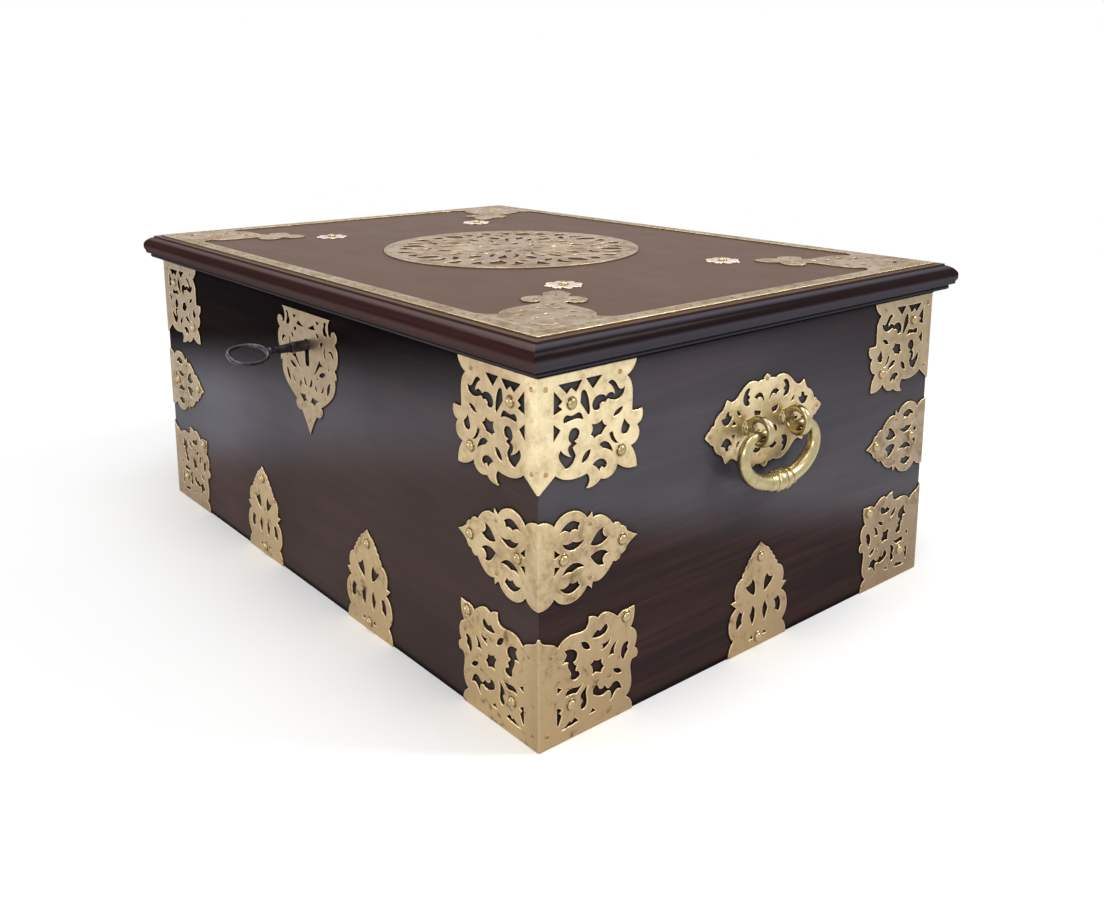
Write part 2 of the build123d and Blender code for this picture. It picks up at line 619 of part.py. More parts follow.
handle_outline = with_mirror(with_mirror(marked(handle_edge), 1), 0)
handle_plate_pins = [(x, y * up) for x, y in handle_pins[:1] for up in (1, -1)]
handle_plate_pins += [(x * way, y) for x, y in handle_pins[1:] for way in (1, -1)]
eye_hole_radius = eye_bolt_radius + eye_bolt_gap
eye_rounds = [(way * eye_spread, -eye_drop, eye_hole_radius) for way in (1, -1)]
for side in ("right", "left"):
    save(f"handle_plate_{side}",
         side_plate(side, 0, handle_height, handle_outline, four_ways(handle_holes), [],
                    handle_plate_pins, eye_rounds))


def keyhole(radius, slot_width, slot_depth, depth):
    """A round hole with a rounded slot below it, cut through `depth` about the key's axis."""
    slot_run = slot_depth - slot_width / 2
    shape = Circle(radius) + Pos(0, -slot_run / 2) * Rectangle(slot_width, slot_run)
    shape += Pos(0, -slot_run) * Circle(slot_width / 2)
    return key_axis * extrude(shape, depth, both=True)


key_axis = place(front, key_offset, key_height)
escutcheon_all_pins = escutcheon_pins + [(-x, y) for x, y in escutcheon_pins if x]
front_keyhole = keyhole(keyhole_radius, keyhole_slot_width, keyhole_slot_depth, 2 * board_thickness)
escutcheon = side_plate("front", key_offset, key_height, with_mirror(marked(escutcheon_edge), 0),
                        left_and_right(escutcheon_holes), [], escutcheon_all_pins)
save("escutcheon_plate", escutcheon - front_keyhole)


# --- Mitred pieces ---------------------------------------------------------------------------

def mitred(side, section, base, inner, outer, low, high):
    """A straight piece along one side, its section (outward, up) cut to 45 degrees both ends."""
    run = half_run[side]
    end = Plane((run + outer, base, 0), x_dir=(0, 0, 1), z_dir=(-1, 0, 0))
    bar = extrude(end * Face(closed_wire(marked(section))), 2 * (run + outer), dir=end.z_dir)
    plan = Polyline((-run - inner, inner), (-run - outer, outer), (run + outer, outer),
                    (run + inner, inner), close=True)
    cutter = Pos(0, base + low, 0) * Rot(90, 0, 0) * extrude(make_face(plan), -(high - low))
    return sides[side].location * (bar & cutter)


# --- Butt hinges -----------------------------------------------------------------------------

lid_edge = lid_overhang + lid_moulding_width
hinge_setback = lid_edge + knuckle_clearance + knuckle_radius
hinge_y = half_depth + hinge_setback
hinge_height = case_height + seat_gap / 2
knuckle_length = (hinge_width - (hinge_knuckles - 1) * knuckle_gap) / hinge_knuckles
hinge_screw_places = [step * hinge_screw_pitch for step in (-1, 0, 1)]
hinge_screw_y = half_depth - hinge_screw_inset
leaf_back = hinge_y - knuckle_radius - knuckle_clearance


def hinge_leaf(x, up):
    """One leaf with its knuckles. Up is 1 for the lid's leaf and -1 for the case's leaf."""
    seat = lid_bottom if up > 0 else case_height
    middle = seat + up * leaf_thickness / 2
    leaf = Box(hinge_width, leaf_back - (half_depth - leaf_reach), leaf_thickness)
    leaf = Pos(x, (leaf_back + half_depth - leaf_reach) / 2, middle) * leaf
    for count in range(0 if up < 0 else 1, hinge_knuckles, 2):
        along = x - hinge_width / 2 + knuckle_length / 2 + count * (knuckle_length + knuckle_gap)
        tongue = Box(knuckle_length, hinge_y - leaf_back + 1, leaf_thickness)
        leaf += Pos(along, (hinge_y + leaf_back - 1) / 2, middle) * tongue
        leaf += Pos(along, hinge_y, hinge_height) * Rot(0, 90, 0) * Cylinder(
            knuckle_radius, knuckle_length)
    bore = Cylinder(hinge_pin_radius + hinge_pin_gap, 2 * hinge_width)
    leaf -= Pos(x, hinge_y, hinge_height) * Rot(0, 90, 0) * bore
    return leaf - copies(screw_hole, hinge_screw_spots(x, up))


def hinge_screw_spots(x, up):
    """Lid screws go up from the lid's underside, and case screws down from the board's top."""
    seat = lid_bottom if up > 0 else case_height
    turn = Rot(180, 0, 0) if up > 0 else Rot(0, 0, 0)
    return [Pos(x + dx, hinge_screw_y, seat) * turn for dx in hinge_screw_places]


def hinge_mortise(x, up):
    seat = lid_bottom if up > 0 else case_height
    depth = leaf_thickness + mortise_gap
    low = seat - seat_gap if up > 0 else seat - depth
    inner = half_depth - leaf_reach - mortise_gap
    block = Box(hinge_width + 2 * mortise_gap, hinge_y - inner, depth + seat_gap)
    return Pos(x, (hinge_y + inner) / 2, low + (depth + seat_gap) / 2) * block


hinge_places = (-hinge_spread, hinge_spread)
save("lower_hinge_leaves", *[hinge_leaf(x, -1) for x in hinge_places])
save("upper_hinge_leaves", *[hinge_leaf(x, 1) for x in hinge_places])
hinge_pin = Rot(0, 90, 0) * Cylinder(hinge_pin_radius, hinge_width)
save("hinge_pins", *[Pos(x, hinge_y, hinge_height) * hinge_pin for x in hinge_places])
case_hinge_spots = [spot for x in hinge_places for spot in hinge_screw_spots(x, -1)]
lid_hinge_spots = [spot for x in hinge_places for spot in hinge_screw_spots(x, 1)]
save("lower_hinge_screws", *copies(screw, case_hinge_spots))
save("upper_hinge_screws", *copies(screw, lid_hinge_spots))
case_mortises = [hinge_mortise(x, -1) for x in hinge_places]
lid_mortises = [hinge_mortise(x, 1) for x in hinge_places]

# --- Lock, in the front side's own directions from the key's axis ------------------------------

inside_face = -board_thickness
lock_base = inside_face - lock_plate_thickness
lock_back = lock_base - lock_depth
lock_low = -lock_below_key
lock_high = key_drop - lock_top_gap
lock_middle = (lock_low + lock_high) / 2
lock_height = lock_high - lock_low
lock_outer_width = lock_width + 2 * lock_flange
bolt_depth = lock_base - bolt_centre_depth
lid_underside = key_drop + seat_gap
staple_bottom = lid_underside - staple_drop
hole_low = staple_bottom + staple_wall
finger_low = hole_low + staple_gap
bar_top = staple_bottom - staple_to_bar
bar_low = bar_top - bolt_bar_height
bolt_per_degree = bolt_travel / (key_turned + key_lock_turn)
locked_travel = bolt_per_degree * key_lock_turn
bit_lean = key_turned + key_lock_turn - 180
tooth_reach = (bit_reach * sin(radians(bit_lean)) + bit_thickness / 2 * cos(radians(bit_lean))
               + tooth_gap)
near_tooth = tooth_reach - locked_travel
far_tooth = tooth_reach + bolt_per_degree * (key_lock_turn - 2 * bit_lean)


def block(x_low, x_high, y_low, y_high, z_low, z_high):
    size = Box(x_high - x_low, y_high - y_low, z_high - z_low)
    return Pos((x_high + x_low) / 2, (y_high + y_low) / 2, (z_high + z_low) / 2) * size


lock_screw_spots = [
    Pos(x * (lock_width + lock_flange) / 2, lock_middle + y * (lock_height / 2 - lock_screw_margin),
        lock_base - lock_plate_thickness) * Rot(180, 0, 0) for x in (-1, 1) for y in (-1, 1)]
lock_screw_holes = copies(screw_hole, lock_screw_spots)
half_outer = lock_outer_width / 2
lock_plate = block(-half_outer, half_outer, lock_low, lock_high, lock_base, inside_face)
lock_plate -= lock_screw_holes
plate_bore = Cylinder(key_lock_radius + key_bearing_gap, 4 * board_thickness)
bit_slot = block(-bit_thickness / 2 - bit_slot_gap, bit_thickness / 2 + bit_slot_gap,
                 -bit_reach - bit_slot_gap, 0, lock_base - 1, inside_face + 1)
lock_plate -= [plate_bore, bit_slot]
save("lock_plate", key_axis * lock_plate)

flange_back = lock_base - lock_plate_thickness
half_lock = lock_width / 2
lock_case = block(-half_outer, half_outer, lock_low, lock_high, flange_back, lock_base)
lock_case += block(-half_lock, half_lock, lock_low, lock_high, lock_back, lock_base)
lock_hollow = block(-half_lock + lock_wall, half_lock - lock_wall, lock_low + lock_wall,
                    lock_high - lock_wall, lock_back + lock_wall, lock_base + 1)
lock_case -= lock_hollow
for x in bolt_guide_places:
    lock_case += block(x - bolt_guide_width / 2, x + bolt_guide_width / 2, bar_low - lock_wall,
                       bar_top + lock_wall, lock_back + lock_wall / 2, lock_base)
half_bolt = bolt_thickness / 2
lock_case -= lock_hollow & block(
    bolt_bar_left - bolt_travel, bolt_bar_right + bolt_travel, bar_low - bolt_guide_gap,
    bar_top + bolt_guide_gap, bolt_depth - half_bolt - bolt_guide_gap,
    bolt_depth + half_bolt + bolt_guide_gap)
staple_half = staple_width / 2
for x in staple_places:
    lock_case -= block(x - staple_thickness / 2 - staple_slot_gap,
                       x + staple_thickness / 2 + staple_slot_gap, lock_high - 2 * lock_wall,
                       lock_high + 1, bolt_depth - staple_half - staple_slot_gap,
                       bolt_depth + staple_half + staple_slot_gap)
lock_case -= Pos(0, 0, lock_back) * Cylinder(key_tip_radius + key_bearing_gap, 4 * lock_wall)
lock_case -= lock_screw_holes
save("lock_case", key_axis * lock_case)
save("lock_screws", *[key_axis * one for one in copies(screw, lock_screw_spots)])

bolt = block(bolt_bar_left, bolt_bar_right, bar_low, bar_top, bolt_depth - half_bolt,
             bolt_depth + half_bolt)
for x in staple_places:
    tip = x + staple_thickness / 2 + finger_start_gap
    bolt += block(tip, tip + finger_length, finger_low, finger_low + finger_height,
                  bolt_depth - half_bolt, bolt_depth + half_bolt)
    bolt += block(tip + finger_length - finger_post, tip + finger_length, bar_top - 1,
                  finger_low + finger_height, bolt_depth - half_bolt, bolt_depth + half_bolt)
for x in (-near_tooth - tooth_width, far_tooth):
    bolt += block(x, x + tooth_width, tooth_clear_of_key, bar_low + 1, bolt_depth - half_bolt,
                  bolt_depth + half_bolt)
save("lock_bolt", key_axis * bolt)

strike_low = staple_places[0] - strike_margin
strike_high = staple_places[-1] + strike_margin
strike = block(strike_low, strike_high, lid_underside, lid_underside + lock_plate_thickness,
               bolt_depth - strike_width / 2, bolt_depth + strike_width / 2)
half_hole = staple_half - staple_side_wall
for x in staple_places:
    x_low, x_high = x - staple_thickness / 2, x + staple_thickness / 2
    strike += block(x_low, x_high, staple_bottom, lid_underside + 1, bolt_depth - staple_half,
                    bolt_depth + staple_half)
    strike -= block(x_low - 1, x_high + 1, hole_low, finger_low + finger_height + staple_gap,
                    bolt_depth - half_hole, bolt_depth + half_hole)
strike_screw_spots = [Pos(x, lid_underside, bolt_depth) * Rot(90, 0, 0)
                      for x in (strike_low + strike_screw_margin, strike_high - strike_screw_margin)]
strike -= copies(screw_hole, strike_screw_spots)
save("lock_strike", key_axis * strike)
save("strike_screws", *[key_axis * one for one in copies(screw, strike_screw_spots)])
strike_mortise = key_axis * block(strike_low - mortise_gap, strike_high + mortise_gap,
                                  lid_underside - 1,
                                  lid_underside + lock_plate_thickness + mortise_gap,
                                  bolt_depth - strike_width / 2 - mortise_gap,
                                  bolt_depth + strike_width / 2 + mortise_gap)

# --- Key ---------------------------------------------------------------------------------------

bit_back = bolt_depth - bit_length / 2
key_end = lock_back - key_shoulder_gap
key_shoulder = lock_back + lock_wall + key_shoulder_gap
barrel_in = [[(key_tip_radius, key_end)], [(key_tip_radius, key_shoulder)],
             [(key_lock_radius, key_shoulder)], [(key_lock_radius, 1)]]
key_outline = [[(0, key_end)]] + barrel_in + key_profile + [[(0, key_profile[-1][0][1])]]
key = revolve(Plane.XZ * Face(closed_wire(marked(key_outline))), Axis.Z)
bit = block(0, bit_reach, -bit_thickness / 2, bit_thickness / 2, bit_back, bit_back + bit_length)
for z in (bit_back + bit_length / 3, bit_back + 2 * bit_length / 3):
    bit -= block(bit_reach - bit_cut_depth, bit_reach + 1, -bit_thickness, bit_thickness,
                 z - bit_cut / 2, z + bit_cut / 2)
bow_reach = bow_length / 2 - bow_wire_radius
bow_side = bow_width / 2 - bow_wire_radius
end_centre = bow_reach - bow_end_radius
flank_rise = bow_side - bow_end_radius
flank_centre = (end_centre ** 2 - flank_rise ** 2) / (2 * flank_rise)
slant = hypot(end_centre, flank_centre)
meet_x = end_centre + bow_end_radius * end_centre / slant
meet_y = bow_end_radius * flank_centre / slant
bow_plane = Plane((0, 0, bow_start + bow_length / 2), x_dir=(0, 0, 1), z_dir=(0, 1, 0))
bow_path = bow_plane * Wire([
    ThreePointArc((meet_x, -meet_y), (bow_reach, 0), (meet_x, meet_y)),
    ThreePointArc((meet_x, meet_y), (0, bow_side), (-meet_x, meet_y)),
    ThreePointArc((-meet_x, meet_y), (-bow_reach, 0), (-meet_x, -meet_y)),
    ThreePointArc((-meet_x, -meet_y), (0, -bow_side), (meet_x, -meet_y))])
bow_section = Plane(bow_path @ 0, z_dir=bow_path % 0) * Circle(bow_wire_radius)
key += [bit, sweep(bow_section, path=bow_path)]
save("key", key_axis * Rot(0, 0, key_turned - 90) * key)

# --- Case boards -------------------------------------------------------------------------------

case_studs_all = [spot for spots in case_studs.values() for spot in spots]
case_pins_all = [spot for spots in case_pins.values() for spot in spots]
save("case_studs", *copies(big_stud, case_studs_all))
save("case_pins", *copies(pin, case_pins_all))
board_section = [[(0, 0)], [(0, case_height)], [(-board_thickness, case_height)],
                 [(-board_thickness, bottom_thickness)],
                 [(rebate_width - board_thickness, bottom_thickness)],
                 [(rebate_width - board_thickness, 0)]]
eye_height = handle_height - eye_drop
eye_places = {side: [place(sides[side], way * eye_spread, eye_height) for way in (-1, 1)]
              for side in ("right", "left")}
eye_hole = drilled(eye_hole_radius, board_thickness)
pocket_depth = nut_thickness + nut_pocket_gap
nut_pocket = Pos(0, 0, pocket_depth / 2 - board_thickness) * Cylinder(nut_pocket_radius,
                                                                       pocket_depth)
for side in sides:
    board = mitred(side, board_section, 0, -board_thickness, 0, 0, case_height)
    cuts = copies(stud_hole, case_studs[side]) + copies(pin_hole, case_pins[side])
    if side == "front":
        cuts += [front_keyhole] + [key_axis * hole for hole in lock_screw_holes]
    elif side == "back":
        cuts += case_mortises + copies(screw_hole, case_hinge_spots)
    else:
        cuts += copies(eye_hole, eye_places[side]) + copies(nut_pocket, eye_places[side])
    save(f"{side}_board", board - cuts)
    rim = mitred(side, rim_section, case_height, 0, rim_width, -rim_height, 0)
    save(f"rim_moulding_{side}", rim - case_mortises if side == "back" else rim)
bottom_inset = board_thickness - rebate_width + joint_gap
save("bottom_board", Pos(0, 0, bottom_thickness / 2) * Box(
    case_length - 2 * bottom_inset, case_depth - 2 * bottom_inset, bottom_thickness))

# --- Bail handles ------------------------------------------------------------------------------

collar_top = plate_thickness + eye_collar_height
bolt_end = nut_pocket_gap - board_thickness
eye_outline = [[(0, bolt_end)], [(eye_bolt_radius, bolt_end)], [(eye_bolt_radius, plate_thickness)],
               [(eye_collar_radius, plate_thickness)],
               [(eye_collar_radius, collar_top - eye_collar_chamfer)],
               [(eye_collar_radius - eye_collar_chamfer, collar_top)], [(eye_neck_radius, collar_top)],
               [(eye_neck_radius, eye_stand - eye_ring_radius)], [(0, eye_stand - eye_ring_radius)]]
eye = revolve(Plane.XZ * Face(closed_wire(marked(eye_outline))), Axis.Z)
eye += Pos(0, 0, eye_stand) * Rot(0, 90, 0) * Torus(eye_ring_radius, eye_wire_radius)
nut = extrude(RegularPolygon(nut_width / 2, 6, major_radius=False)
              - Circle(eye_bolt_radius + nut_gap), nut_thickness)
nut = Pos(0, 0, nut_pocket_gap / 2 - board_thickness) * nut
all_eyes = eye_places["right"] + eye_places["left"]
save("handle_eyes", *copies(eye, all_eyes))
save("handle_nuts", *copies(nut, all_eyes))

pivot_height = eye_height - (eye_ring_radius - eye_wire_radius - bail_end_radius - bail_hang_gap)


def bail():
    """A drop handle about its pivot: a swelling rod with turned rings at the grip's middle."""
    path = FilletPolyline((bail_end, 0), (bail_half_width, 0), (bail_half_width, -bail_drop),
                          (0, -bail_drop), radius=[bail_shoulder_radius, bail_side_radius])
    rings = []
    for step in range(bail_sections + 1):
        along = step / bail_sections
        swell = (bail_grip_radius - bail_end_radius) * sin(pi / 2 * along) ** 3
        section = Plane(path @ along, x_dir=(0, 0, 1), z_dir=path % along)
        rings.append(section * Circle(bail_end_radius + swell))
    straight = Rot(0, 90, 0) * Cylinder(bail_end_radius, bail_end - bail_start)
    half = loft(rings) + Pos((bail_start + bail_end) / 2, 0, 0) * straight
    edge = grip_bead_width / 2
    ring = edge + grip_ring_width
    beads = [[(0, -ring)], [(bail_grip_radius, -ring), (grip_ring_radius, -(ring + edge) / 2)],
             [(bail_grip_radius, -edge), (grip_bead_radius, 0)],
             [(bail_grip_radius, edge), (grip_ring_radius, (ring + edge) / 2)],
             [(bail_grip_radius, ring)], [(0, ring)]]
    turned = revolve(Plane.XZ * Face(closed_wire(marked(beads))), Axis.Z)
    return half + mirror(half, Plane.YZ) + Pos(0, -bail_drop, 0) * Rot(0, 90, 0) * turned


handle = Pos(0, pivot_height, eye_stand) * bail()
for side in ("right", "left"):
    save(f"bail_handle_{side}", sides[side].location * handle)

# --- Lid ---------------------------------------------------------------------------------------

lid_pins = []
lid_strips = []
strip_inner = strip_overhang - strip_width
pin_line = (strip_overhang + strip_inner) / 2
for side in sides:
    run = half_run[side] + pin_line
    count = round(2 * run / strip_pin_pitch)
    steps = [(step + 0.5) * 2 * run / count - run for step in range(count)]
    lie_flat = sides[side].location * Pos(0, lid_top, 0) * Rot(-90, 0, 0)
    inner = half_run[side] + strip_inner
    outer = half_run[side] + strip_overhang
    plan = marked([[(-inner, -strip_inner)], [(inner, -strip_inner)],
                   [(outer, -strip_overhang)], [(-outer, -strip_overhang)]])
    spots = [(x, -pin_line) for x in steps]
    lid_strips.append(lie_flat * sheet(Plane.XY, plan, [], plate_rounds([], spots)))
    lid_pins += [lie_flat * Pos(x, y, 0) for x, y in spots]
save("lid_border_strips", *lid_strips)

corner_outline = with_mirror(marked(corner_edge), 0)
corner_loops = left_and_right(corner_holes) + [marked(loop) for loop in corner_centre_holes]
corner_all_pins = corner_pins + [(-x, y) for x, y in corner_pins if x]
ornament = sheet(Plane.XY, corner_outline, corner_loops, plate_rounds([], corner_all_pins))
for corner, (x, y) in {"front_right": (1, -1), "back_right": (1, 1), "back_left": (-1, 1),
                       "front_left": (-1, -1)}.items():
    turn = {(1, -1): 45, (1, 1): 135, (-1, 1): 225, (-1, -1): 315}[(x, y)]
    seat = Pos(x * (half_length + strip_inner), y * (half_depth + strip_inner), lid_top)
    seat *= Rot(0, 0, turn)
    save(f"lid_corner_{corner}", seat * ornament)
    lid_pins += [seat * Pos(px, py, 0) for px, py in corner_all_pins]


def spun(loop, turn):
    """A marked loop turned about the origin, in degrees."""
    c, s = cos(radians(turn)), sin(radians(turn))
    return [((c * x - s * y, s * x + c * y), is_corner) for (x, y), is_corner in loop]


def around(radius, turn):
    return (radius * cos(turn), radius * sin(turn))


medallion_loops = []
for repeat in range(medallion_repeats):
    turn = 360 / medallion_repeats * repeat
    spoke = [marked(loop) for loop in spoke_holes] + left_and_right(paired_holes)
    medallion_loops += [spun(loop, turn) for loop in spoke]
    medallion_loops += [spun(marked(loop), turn + 180 / medallion_repeats) for loop in between_holes]
rim_pin_reach = medallion_radius - medallion_rim / 2
medallion_pins = [around(rim_pin_reach, 2 * pi * count / medallion_rim_pins)
                  for count in range(medallion_rim_pins)]
disc = Face(round_wire(0, 0, medallion_radius),
            [closed_wire(loop) for loop in medallion_loops]
            + [round_wire(*spot) for spot in plate_rounds([], medallion_pins)])
save("lid_medallion", lid_face * extrude(disc, plate_thickness, dir=(0, 0, 1)))
lid_pins += [place(lid_face, x, y) for x, y in medallion_pins]

petal = 2 * pi / rosette_petals
rosette_edge = [[around(rosette_valley_radius, count * petal),
                 around(rosette_radius, (count + 0.5) * petal)] for count in range(rosette_petals)]
rosette_eyes = [(*around(rosette_eyelet_reach, (count + 0.5) * petal), rosette_eyelet_radius)
                for count in range(rosette_petals)]
rosette = sheet(Plane.XY, marked(rosette_edge), [], [(0, 0, stud_hole_radius)] + rosette_eyes)
rosette_spots = [place(lid_face, x * rosette_x, y * rosette_y) for x in (-1, 1) for y in (-1, 1)]
save("lid_rosettes", *copies(rosette, rosette_spots))
save("lid_studs", *copies(small_stud, rosette_spots))
save("lid_pins", *copies(pin, lid_pins))

panel = Pos(0, 0, lid_bottom + lid_thickness / 2) * Box(
    case_length + 2 * lid_overhang, case_depth + 2 * lid_overhang, lid_thickness)
panel -= copies(pin_hole, lid_pins) + copies(stud_hole, rosette_spots)
panel -= lid_mortises + copies(screw_hole, lid_hinge_spots) + [strike_mortise]
panel -= [key_axis * hole for hole in copies(screw_hole, strike_screw_spots)]
save("lid_panel", panel)
for side in sides:
    shifted = [[(x + lid_overhang, y) for x, y in stretch] for stretch in lid_section]
    piece = mitred(side, shifted, lid_bottom, lid_overhang, lid_edge, 0, lid_moulding_height)
    save(f"lid_moulding_{side}", piece - lid_mortises if side == "back" else piece)
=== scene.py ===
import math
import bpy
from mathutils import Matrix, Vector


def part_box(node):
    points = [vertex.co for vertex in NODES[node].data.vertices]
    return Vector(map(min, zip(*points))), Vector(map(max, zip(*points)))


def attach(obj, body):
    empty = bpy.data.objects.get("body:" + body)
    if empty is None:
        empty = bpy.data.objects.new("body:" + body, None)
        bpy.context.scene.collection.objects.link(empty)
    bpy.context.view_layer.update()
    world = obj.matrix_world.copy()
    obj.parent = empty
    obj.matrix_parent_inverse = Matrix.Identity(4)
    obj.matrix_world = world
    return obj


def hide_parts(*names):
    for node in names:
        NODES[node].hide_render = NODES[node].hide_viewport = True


bl_info = {
    "name": "Brass Bound Chest",
    "version": (1, 0, 0),
    "blender": (4, 5, 0),
    "location": "View3D > Sidebar > Chest",
    "description": "Dresses a lacquered chest with turned, stamped and pierced brass fittings",
    "category": "Object",
}

import bmesh
import bpy
from mathutils import Matrix, Vector

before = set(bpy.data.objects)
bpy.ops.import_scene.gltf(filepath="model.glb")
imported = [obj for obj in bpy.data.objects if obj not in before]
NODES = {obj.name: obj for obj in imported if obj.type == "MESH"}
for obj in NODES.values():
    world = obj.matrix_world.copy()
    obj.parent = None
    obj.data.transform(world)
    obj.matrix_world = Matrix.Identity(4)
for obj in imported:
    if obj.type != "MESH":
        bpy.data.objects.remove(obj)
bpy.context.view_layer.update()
CORNERS = ("front_right", "back_right", "back_left", "front_left")
MM = 0.001
HALF_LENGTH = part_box("right_board")[1].x
HALF_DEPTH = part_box("back_board")[1].y
LID_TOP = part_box("lid_panel")[1].z
# Centres of the lid's four rosettes
ROSETTES = [(x * 0.237, y * 0.119) for x in (-1, 1) for y in (-1, 1)]
UP = Vector((0, 0, 1))
# Each upright side's way to the right, seen from outside, and its way outward
SIDE_WAYS = {"front": (Vector((1, 0, 0)), Vector((0, -1, 0))),
             "right": (Vector((0, 1, 0)), Vector((1, 0, 0))),
             "back": (Vector((-1, 0, 0)), Vector((0, 1, 0))),
             "left": (Vector((0, -1, 0)), Vector((-1, 0, 0)))}
# How far each side stands from the middle of the case, and half its own length
SIDE_REACH = {"front": HALF_DEPTH, "right": HALF_LENGTH, "back": HALF_DEPTH, "left": HALF_LENGTH}
SIDE_RUN = {"front": HALF_LENGTH, "right": HALF_DEPTH, "back": HALF_LENGTH, "left": HALF_DEPTH}
# Thickness of the sheet brass, in millimetres
PLATE = (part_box("lid_medallion")[1].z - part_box("lid_medallion")[0].z) / MM


# ---------------------------------------------------------------------------------------------
# Sizes and colours that a user would change

class ChestWoodProperties(bpy.types.PropertyGroup):
    lacquer: bpy.props.FloatVectorProperty(
        name="Lacquer", description="Colour of the lacquered boards", subtype="COLOR", size=3,
        min=0, max=1, default=(0.0125, 0.0070, 0.0080))
    streak: bpy.props.FloatVectorProperty(
        name="Streak", description="Redder streaks of the grain under the lacquer", subtype="COLOR",
        size=3, min=0, max=1, default=(0.036, 0.0155, 0.0135))
    # Painted reflection: milky colour of the reflection band painted at half height of the boards,
    # also of the painted highlights on the end mouldings and the rims
    painted_reflection: bpy.props.FloatVectorProperty(
        name="Painted_reflection", description="Milky cast of the old lacquer at half height", subtype="COLOR",
        size=3, min=0, max=1, default=(0.132, 0.128, 0.154))
    # Painted reflection: brown painted below the milky reflection band, also of the painted
    # highlights on the front and back mouldings
    fade: bpy.props.FloatVectorProperty(
        name="Fade", description="Brown cast of the faded lacquer below the bloom",
        subtype="COLOR", size=3, min=0, max=1, default=(0.152, 0.105, 0.097))
    top: bpy.props.FloatVectorProperty(
        name="Lid", description="Colour of the lid's sun-browned top", subtype="COLOR", size=3,
        min=0, max=1, default=(0.085, 0.047, 0.032))
    moulding: bpy.props.FloatVectorProperty(
        name="Moulding", description="Red-brown of the front and back mouldings", subtype="COLOR",
        size=3, min=0, max=1, default=(0.026, 0.0100, 0.0098))
    raw: bpy.props.FloatVectorProperty(
        name="Raw wood", description="Colour of the unlacquered wood inside", subtype="COLOR",
        size=3, min=0, max=1, default=(0.20, 0.085, 0.042))
    ripple: bpy.props.FloatProperty(
        name="Ripple", description="Height of the waves in the lacquer", subtype="DISTANCE",
        unit="LENGTH", min=0, default=0.00035)


class ChestBrassProperties(bpy.types.PropertyGroup):
    polished: bpy.props.FloatVectorProperty(
        name="Polished", description="Colour of the rubbed brass", subtype="COLOR", size=3,
        min=0, max=1, default=(0.60, 0.47, 0.27))
    aged: bpy.props.FloatVectorProperty(
        name="Aged", description="Colour of the darkened brass", subtype="COLOR", size=3,
        min=0, max=1, default=(0.385, 0.275, 0.143))
    # Painted light: how much paler the fittings are painted at the top of the front right corner
    rubbed_and_painted_light: bpy.props.FloatVectorProperty(
        name="Rubbed_and_painted_light", description="How much paler the fittings are at the top of the front right "
        "corner", size=3, min=0, default=(1.40, 1.52, 1.68))
    shaded: bpy.props.FloatVectorProperty(
        name="Shaded", description="How much darker the fittings are at the left and at the back",
        size=3, min=0, default=(0.66, 0.65, 0.72))
    tarnish: bpy.props.FloatVectorProperty(
        name="Tarnish", description="Brown spots and the dirt in the corners", subtype="COLOR",
        size=3, min=0, max=1, default=(0.16, 0.095, 0.045))
    stud: bpy.props.FloatProperty(
        name="Stud", description="Radius of a case stud's head", subtype="DISTANCE",
        unit="LENGTH", min=0.003, default=0.006)


class ChestIronProperties(bpy.types.PropertyGroup):
    iron: bpy.props.FloatVectorProperty(
        name="Iron", description="Colour of the blackened iron", subtype="COLOR", size=3,
        min=0, max=1, default=(0.036, 0.031, 0.038))


class ChestStageProperties(bpy.types.PropertyGroup):
    floor: bpy.props.FloatProperty(
        name="Floor", description="Paleness of the floor", subtype="FACTOR", min=0, max=1,
        default=0.9)
    sky: bpy.props.FloatProperty(
        name="Surrounding light", description="Strength of the plain light all round", min=0,
        default=0.42)


# ---------------------------------------------------------------------------------------------
# Shader maths and nodes

class Signal:
    """A number from a node's socket. Python's operators add the Math nodes."""

    def __init__(self, tree, socket):
        self.tree = tree
        self.socket = socket

    def maths(self, operation, *values):
        node = self.tree.nodes.new("ShaderNodeMath")
        node.operation = operation
        for entry, value in zip(node.inputs, values):
            if isinstance(value, Signal):
                self.tree.links.new(value.socket, entry)
            else:
                entry.default_value = value
        return Signal(self.tree, node.outputs[0])

    def __add__(self, other):
        return self.maths("ADD", self, other)

    def __radd__(self, other):
        return self.maths("ADD", other, self)

    def __sub__(self, other):
        return self.maths("SUBTRACT", self, other)

    def __rsub__(self, other):
        return self.maths("SUBTRACT", other, self)

    def __mul__(self, other):
        return self.maths("MULTIPLY", self, other)

    def __rmul__(self, other):
        return self.maths("MULTIPLY", other, self)

    def __lt__(self, other):
        return self.maths("LESS_THAN", self, other)

    def __abs__(self):
        return self.maths("ABSOLUTE", self)

    def larger(self, other):
        """The larger of the two at each point."""
        return self.maths("MAXIMUM", self, other)


# How far the shade of a corner reaches over the wood, and the dirt of one over the brass
CORNER_SHADE = 9 * MM
CREVICE = 3 * MM
# Radius of the brass sheets' rounded edges, which also sets the width of their pale rims, partly
# wear and partly painted highlight
ROUNDED_EDGE = 1.7 * MM


